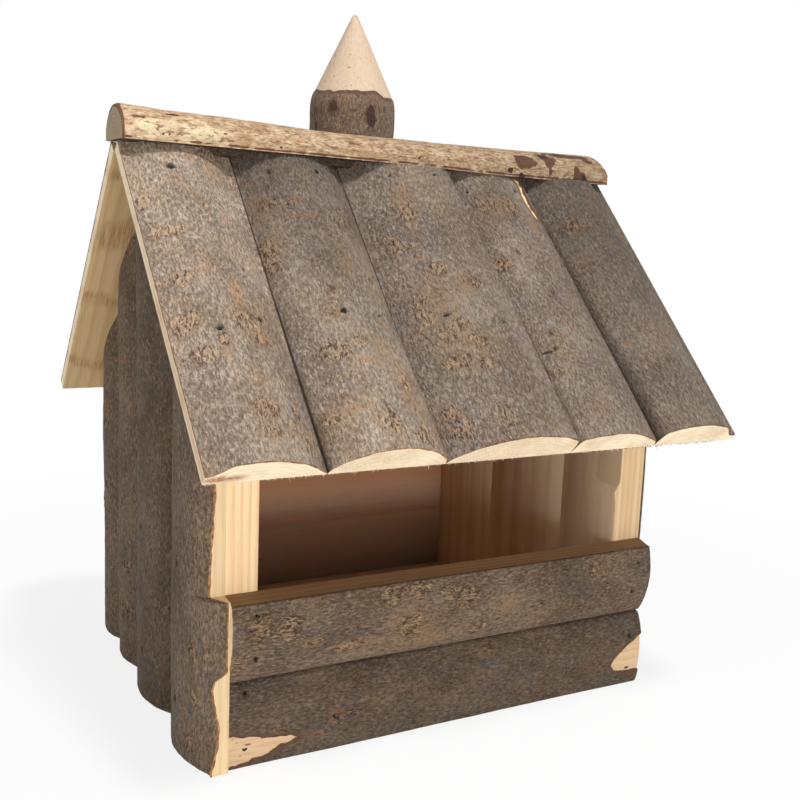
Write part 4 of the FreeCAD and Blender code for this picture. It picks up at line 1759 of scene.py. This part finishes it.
@dataclass
class Studio:
    """The camera, the lamps, the pale floor and the white backdrop."""

    eye: Sequence[float] = (-243.645, -456.202, 218.613)
    lens: float = 47.807
    sensor: float = 36.0
    nearest: float = 0.01
    yaw: float = math.radians(-29.2829)
    pitch: float = math.radians(-9.4193)
    roll: float = math.radians(2.298)
    world: float = 0.28
    aim: Sequence[float] = (0.0, 0.0, 0.13)
    lamps: Sequence[tuple[str, tuple[float, float, float], float, Spot]] = (
        ("key", (0.05, -0.5, 1.6), 19.0, (0.24, 0.24)), ("fill", (-0.05, -1.7, 0.17), 13.0, (0.7, 0.3)),
        ("side", (-1.6, -0.3, 0.4), 5.0, (0.8, 0.6)))
    floor_size: float = 12.0
    floor_level: float = -0.0002
    floor_tone: float = 0.86
    floor_glow: float = 0.84
    fade: Spot = (0.2, 0.5)

    WHITE = (1.0, 1.0, 1.0, 1.0)

    def build(self) -> None:
        """Sets up the studio."""
        self._camera()
        for name, place, power, size in self.lamps:
            light = bpy.data.lights.new(name, "AREA")
            light.shape, light.energy, (light.size, light.size_y) = "ELLIPSE", power, size
            lamp = bpy.data.objects.new(name, light)
            bpy.context.scene.collection.objects.link(lamp)
            lamp.location = place
            lamp.rotation_euler = (Vector(self.aim) - Vector(place)).to_track_quat("-Z", "Y").to_euler()
        self._backdrop()
        self._floor()
        bpy.context.scene.view_settings.view_transform = "Standard"

    def _camera(self) -> None:
        """Puts the camera where the photograph was taken from."""
        heading, rise = -self.yaw, self.pitch
        ahead = Vector((math.sin(heading) * math.cos(rise), math.cos(heading) * math.cos(rise), math.sin(rise)))
        right = Vector((math.cos(heading), -math.sin(heading), 0.0))
        up = right.cross(ahead)
        cos, sin = math.cos(self.roll), math.sin(self.roll)
        camera = bpy.data.cameras.new("camera")
        camera.sensor_width, camera.lens, camera.clip_start = self.sensor, self.lens, self.nearest
        stand = bpy.data.objects.new("camera", camera)
        bpy.context.scene.collection.objects.link(stand)
        stand.matrix_world = seat(cos * right + sin * up, cos * up - sin * right, -ahead, self.eye)
        bpy.context.scene.camera = stand

    def _seen(self, tree: NodeTree) -> NodeSocket:
        """A value of 1 for rays that show the backdrop: the camera's, and those from gloss and glass.

        Args:
            tree: the nodes that the value is for.

        Returns:
            The value's socket.
        """
        path = tree.nodes.new("ShaderNodeLightPath")
        total = path.outputs["Is Camera Ray"]
        for name in ("Is Glossy Ray", "Is Transmission Ray"):
            higher = tree.nodes.new("ShaderNodeMath")
            higher.operation = "MAXIMUM"
            tree.links.new(total, higher.inputs[0])
            tree.links.new(path.outputs[name], higher.inputs[1])
            total = higher.outputs[0]
        return total

    def _backdrop(self) -> None:
        """Makes the world a soft light that looks white."""
        world = bpy.data.worlds.new("studio")
        world.use_nodes = True
        bpy.context.scene.world = world
        tree = world.node_tree
        background = tree.nodes["Background"]
        background.inputs["Color"].default_value = self.WHITE
        level = tree.nodes.new("ShaderNodeMapRange")
        level.inputs["To Min"].default_value = self.world
        level.inputs["To Max"].default_value = 1.0
        tree.links.new(self._seen(tree), level.inputs["Value"])
        tree.links.new(level.outputs[0], background.inputs["Strength"])

    def _floor(self) -> None:
        """Lays the pale floor, which keeps a soft shadow of the house and fades into the backdrop."""
        bpy.ops.object.select_all(action="DESELECT")
        bpy.ops.mesh.primitive_plane_add(size=self.floor_size, location=(0.0, 0.0, self.floor_level))
        floor = bpy.context.object
        floor.name = "floor"
        bench = Bench("pale_floor")
        white = bench.node("ShaderNodeBsdfDiffuse", {}, {"Color": (*(self.floor_tone,) * 3, 1.0)})
        glow = bench.node("ShaderNodeEmission", {}, {"Color": self.WHITE, "Strength": 1.0})
        far = bench.node("ShaderNodeVectorMath", {"operation": "LENGTH"}, {0: bench.place()}, "Value")
        faded = self.floor_glow + (1.0 - self.floor_glow) * bench.band(far, *self.fade)
        clear = Wire(bench, self._seen(bench.tree)) * faded
        mixed = bench.node("ShaderNodeMixShader", {}, {0: clear, 1: white, 2: glow})
        bench.node("ShaderNodeOutputMaterial", {}, {"Surface": mixed}, None)
        floor.data.materials.append(bench.material)


# A mark's row gives its place across and along the log, its half width and half length and, below 1, its share.
FRONT_MARKS = (
    marked(
        scar=((-13.6, -57, 2.4, 4.6, 0.9), (-15.3, -52, 1.6, 6, 0.8), (-14.2, -84.5, 2.4, 3.4, 0.9),
              (-30.8, 17.4, 3, 5, 0.6)),
        rust=((-16.3, -60.3, 4.5, 4.5), (-13.3, 75, 5, 9, 0.5), (-8.8, -70.5, 2.2, 5.5, 0.9)),
        stain=((-30.8, 17.4, 5, 8), (-34, 44.7, 2, 9, 0.8), (-20, -20, 6, 14, 0.5), (-12, 40, 5, 12, 0.5)),
        hole=((-31.3, -98.6, 0.9, 1), (-15.6, -60.2, 1, 0.9), (-10.5, -97.8, 0.5, 1.3), (-25.3, 98.4, 0.8, 0.8))),
    marked(
        scar=((-60.2, -94.6, 7, 7), (-58.3, -82.4, 6.6, 6.6, 0.9), (-50.6, -70.6, 2.4, 6, 0.8),
              (-45.6, -53.7, 3, 11, 0.9), (-50.8, -26, 7, 9, 0.8), (-65, -36.3, 5, 8), (-66, -24, 4, 8),
              (-47.5, -103.6, 3, 3.4, 0.9), (-42.6, -102.4, 2.6, 3.4, 0.8), (-59.7, 1.6, 6, 7), (-63, -8, 4, 7, 0.8),
              (-61.8, 70.6, 4.6, 5, 0.8), (-52.3, 80.1, 4, 5, 0.7), (-50.4, 39.7, 1.6, 6, 0.8),
              (-46, 66.3, 3.6, 1.6, 0.8), (-43.5, 8.9, 4, 8, 0.7)),
        rust=((-50.6, -70, 2.6, 5, 0.6),),
        stain=((-46, -48, 4, 16), (-51, -27, 11, 14), (-52.9, 22.4, 5, 10), (-42, -20, 4, 22)),
        hole=((-65.4, -96.1, 1.1, 0.9), (-47, -95.8, 0.9, 0.9), (-63, 98.3, 0.9, 0.9), (-48.8, 96.7, 0.9, 0.9))),
)
FRONT_ROOF_MARKS = (
    marked(
        scar=((-119.5, -53, 8.8, 4.4), (-120.5, -77, 7.4, 4.6, 0.8), (-122, -98, 6, 6), (-98, -99.5, 7, 6.5),
              (-95, -107.5, 4, 3, 0.8), (-109.5, -109, 2.6, 5, 0.9), (-118.5, -115, 8, 5), (-101, -141, 7.4, 6),
              (-102, -149, 6, 3, 0.9), (-88.2, -139, 2, 5), (-91.5, -145.5, 2.2, 4, 0.9), (-87, -152, 2.6, 5),
              (-126, -36, 4, 6, 0.8)),
        rust=((-111, -74, 5, 4, 0.5), (-121, -97, 4, 4, 0.5), (-99, -85.5, 3.4, 6.5), (-94.5, -107, 5, 4),
              (-100.5, -138.5, 4, 3.5, 0.9), (-110, -23.5, 5, 2.4, 0.6), (-101, -11.5, 4.4, 2.6, 0.8),
              (-92.8, -43.7, 2.4, 4.6, 0.6)),
        stain=((-97, -101, 9, 9), (-109.5, -114, 4, 6), (-93, -18, 5, 7)),
        dark=((-92.6, -75, 1.1, 1.1, 0.8),),
        hole=((-109.8, -103, 1.7, 1.2), (-110.3, -17.5, 2.4, 1.2), (-97, -11.4, 1.3, 0.9), (-91.3, -96.3, 1.2, 1.2))),
    marked(
        scar=((-68, -35, 8.4, 4.8), (-77, -61, 5.6, 8.5), (-40, -43, 6, 5.6), (-60.5, -69.5, 2.2, 2.6, 0.9),
              (-49, -64.5, 2, 3, 0.8), (-58.7, -83.5, 2.6, 3, 0.8), (-36, -73, 3.5, 6, 0.7), (-65.5, -114, 8.4, 5.4),
              (-56, -112, 6, 3.4), (-67.6, -126.6, 4, 3, 0.7), (-74, -143.3, 5, 2.4), (-54, -149, 5, 7.4),
              (-40, -155, 6, 5), (-39.5, -131, 5, 6, 0.7), (-60.4, -96.6, 1.6, 1.4)),
        rust=((-59.2, -33.6, 4.4, 3.2), (-57, -44.6, 9, 2.6, 0.7), (-43, -43, 3, 4, 0.6), (-58.7, -83.5, 3.8, 4, 0.7),
              (-39.7, -101.5, 1.5, 4.2), (-54.2, -120.3, 4.6, 1.8), (-53, -151, 2.4, 4, 0.7),
              (-76.8, -20.9, 3.2, 2.4), (-60, -96.4, 2, 1.8)),
        stain=((-74, -34, 5, 14), (-75.5, -58, 8, 11), (-47.5, -68, 4, 10), (-46, -118, 6, 12, 0.8),
               (-67, -141.6, 9, 3), (-40, -135, 6, 14)),
        hole=((-40, -96.7, 1.1, 1), (-66.5, -16.2, 1.5, 1.4), (-44.2, -16.3, 1.2, 1), (-56.3, -95.5, 1.5, 1.4))),
    marked(
        scar=((-8.6, -38, 8, 6.4), (-19.5, -51, 5, 3.4, 0.8), (-15, -57.5, 6.5, 4, 0.9), (-10.3, -64, 2.2, 1.6, 0.8),
              (-4, -73, 4.6, 4.4), (-17.5, -88.1, 3.4, 3.6), (11, -81.5, 5, 4.4, 0.9), (-17, -97, 5, 6, 0.8),
              (-6, -104, 7, 5, 0.7), (-10.7, -109.8, 4, 3, 0.8), (-0.9, -113.8, 4.4, 4.6), (-12.5, -121.5, 7, 4.5),
              (-0.2, -124.8, 4.4, 3.4, 0.9), (-21.7, -143.3, 3.8, 4.4), (-20.5, -152, 5.4, 6, 0.9),
              (-1.5, -151, 4, 6.4, 0.9), (15.9, -104.4, 2.4, 2.2)),
        rust=((-6, -26, 4, 6, 0.6), (-10.3, -64.4, 3.2, 2.4), (5, -81, 5, 5, 0.5), (-17, -88.5, 2, 2.2),
              (-0.5, -113.5, 2.4, 3, 0.7), (-22, -143.5, 2.6, 3, 0.9)),
        stain=((-6, -33, 7, 15), (4.5, -83.6, 9, 7), (-28, -147, 3, 10), (-10, -100, 12, 34, 0.7)),
        hole=((16.5, -104, 0.9, 0.9), (-8.7, -97.7, 1.8, 1.1), (-7.6, -15.8, 1.1, 0.9), (15.4, -15.4, 1, 0.9))),
    marked(
        scar=((40, -29.5, 7, 4.6), (53.5, -31, 6, 6.4), (34.7, -66, 7.4, 5.4), (44, -60, 3, 3, 0.7),
              (52.5, -85.8, 2.8, 2.6), (43.4, -107.2, 2.6, 2.6, 0.8), (36, -128, 4.4, 3, 0.7)),
        rust=((56, -34, 4, 3, 0.6), (34, -65, 6, 4, 0.8), (30.4, -96.5, 3.4, 3, 0.8), (54.3, -105.3, 3, 2.6, 0.6),
              (61, -42, 3.6, 2.4, 0.8)),
        stain=((47, -31, 12, 8), (62, -42.3, 4, 4), (66, -88.5, 3, 5), (50, -146, 6, 7, 0.6)),
        dark=((36.4, -117, 3, 0.8),),
        hole=((40.7, -115.5, 1.3, 1.2), (62.6, -111.8, 0.9, 0.9), (35.1, -19.3, 1.1, 1.1), (62, -18.6, 1, 1))),
    marked(
        scar=((88.4, -41.6, 8.2, 6.2), (92, -88, 4, 4, 0.5), (100, -126, 5, 4, 0.5)),
        rust=((88.4, -41.6, 6, 4.6, 0.7), (104.2, -73.3, 3, 3.5, 0.5), (82.4, -114.4, 2, 1.8),
              (79.5, -156.8, 1.6, 2, 0.8)),
        stain=((88, -42, 9, 7), (104, -21.1, 4, 3, 0.7), (102.5, -58, 5, 8, 0.8), (107, -111, 8, 5, 0.7),
               (84, -62, 5, 7, 0.7), (114, -139.5, 5, 6, 0.6))),
)
CAP_MARKS = marked(
    scar=((17.5, -117, 4.6, 15), (18, -98, 4.2, 14), (19, -85, 2.6, 7, 0.8), (-9, 20, 4, 20, 0.7)),
    rust=((17.3, -105.3, 1.5, 2), (19, -77, 3, 7, 0.7), (20.4, -17, 2.2, 8, 0.7), (15.8, 11.7, 1.2, 1.6),
          (16.4, 4.6, 1, 1.2), (15.6, 73.4, 2.6, 5, 0.6), (11.8, 113, 2, 4.4), (-6, -60, 5, 14, 0.6)),
    stain=((13, -122, 0.8, 5, 0.7), (17.2, -85.5, 0.6, 1.2), (19.4, 9.9, 0.8, 1), (14.6, 72.2, 4.2, 7.4),
           (10.8, 85, 3.4, 6.4), (14.6, 86.2, 3.4, 3.4), (18.6, 86.4, 2.8, 1.4), (17.4, 103.2, 3.2, 2.2),
           (20.2, 104.6, 3.2, 3.8), (22.4, 106.4, 2.2, 5.6), (7.4, 100, 2, 22), (10.6, 112, 1.8, 4, 0.8),
           (-8, 88, 3, 9)),
    dark=((9, -107.1, 0.9, 3.4), (19.2, -110, 0.9, 1.3), (19.6, -112.6, 0.8, 1), (15.4, -98.3, 0.6, 0.7),
          (20.9, -60, 0.7, 1), (20.1, 61.8, 1.5, 1.8), (11.6, 68, 1.6, 4, 0.5), (10, 84, 2, 5),
          (20.8, 107.4, 2, 1.8, 0.8), (22.4, 68.8, 1.6, 2.4), (6.2, 98, 1.4, 19, 0.8)))
LEFT_MARKS = (
    marked(scar=((70, 48, 4, 5), (79, 49, 3, 3, 0.8), (72, 30, 3.5, 4), (68, 8, 4, 4)), stain=((76, 31, 3, 5),)),
    [*scatter(51, 10, (-20.0, 20.0), (20.0, 200.0)),
     *marked(scar=((-5, 121, 2.6, 6, 0.8),), rust=((-5, 122, 2.8, 10), (-5.5, 150, 2.2, 16, 0.7)))],
    scatter(52, 9, (-60.0, -30.0), (20.0, 160.0)), scatter(53, 8, (-98.0, -70.0), (20.0, 130.0)),
)
REAR_ROOF_MARKS = [scatter(21 + k, 14, (78.0 - 51.0 * k, 125.0 - 51.0 * k), (-155.0, -20.0)) for k in range(5)]
RIGHT_MARKS = [scatter(61 + k, 10, (-70.0 + 45.0 * k, -36.0 + 45.0 * k), (15.0, 130.0)) for k in range(4)]
# The place on the fourth front roof slab where the bark has come off.
STRIPPED = ((65.2, -9.0), (69.2, -9.0), (69.7, -15.0), (68.7, -23.0), (69.6, -29.0), (70.8, -35.0), (68.4, -35.0),
            (65.8, -24.5), (66.6, -15.0))


def main() -> None:
    """Builds the house's looks in order."""
    logging.basicConfig(level=logging.INFO, format="%(message)s")
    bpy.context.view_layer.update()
    finishes = Finishes()
    RoofSlope("front", rear=False, top=(-129.4, -79.5, -28.2, 27.9, 72.7, 120.4),
              eave=(-127.0, -78.8, -27.7, 33.7, 79.7, 126.1),
              logs=((13.8, 1.6, -3.8), (15.2, 3.6, 0.0), (17.0, 0.4, 6.0), (13.8, 6.0, -2.0), (15.7, 6.7, -1.3)),
              tones=((1.24, 1.54), (1.4, 0.54), (0.97, 0.89), (0.97, 0.87), (0.77, 0.46)), marks=FRONT_ROOF_MARKS,
              mesh_size=0.65, seed=11, splinters=90, stripped={3: STRIPPED},
              streaked={0: (-119.5, 2.6, 9.0, 2.4)}).build(finishes)
    RoofSlope("rear", rear=True, top=(-129.3, -79.0, -29.0, 25.0, 74.0, 120.4),
              eave=(-129.3, -78.0, -27.0, 29.9, 79.9, 126.1),
              logs=((13.0, 5.5, 0.0), (14.0, 5.9, 0.0), (15.4, 5.7, 0.0), (14.0, 6.2, 0.0), (13.0, 6.4, 0.0)),
              tones=((0.9, 1.0), (0.8, 0.9), (1.0, 0.85), (0.8, 0.9), (0.85, 0.9)), marks=REAR_ROOF_MARKS,
              mesh_size=0.9, seed=51).build(finishes)
    SideCladding("left", right=False, edges=(-83.2, -25.2, 26.8, 67.3, 101.0),
                 logs=((12.9, 3.3, -2.4), (11.9, 4.0, 0.0), (8.5, 3.5, 0.0), (7.0, 2.8, 0.0)),
                 tones=(1.42, 1.1, 1.4, 1.4), marks=LEFT_MARKS, seed=101, lap=7.0).build(finishes)
    SideCladding("right", right=True, edges=(-76.2, -30.2, 19.8, 64.8, 101.0),
                 logs=((10.0, 1.5, 1.8), (12.0, 4.0, 0.0), (10.5, 3.5, 0.0), (8.0, 3.0, 0.0)),
                 tones=(0.92, 1.0, 0.9, 0.95), marks=RIGHT_MARKS, seed=121).build(finishes)
    FrontSlabs(FRONT_MARKS).build(finishes)
    cap = RidgeCap(marks=CAP_MARKS)
    cap.build(finishes)
    CapNails(cap).build(finishes)
    Chimney().build(finishes)
    Carcass().build(finishes)
    Fittings().dress(finishes)
    Studio().build()


if __name__ == "__main__":
    main()
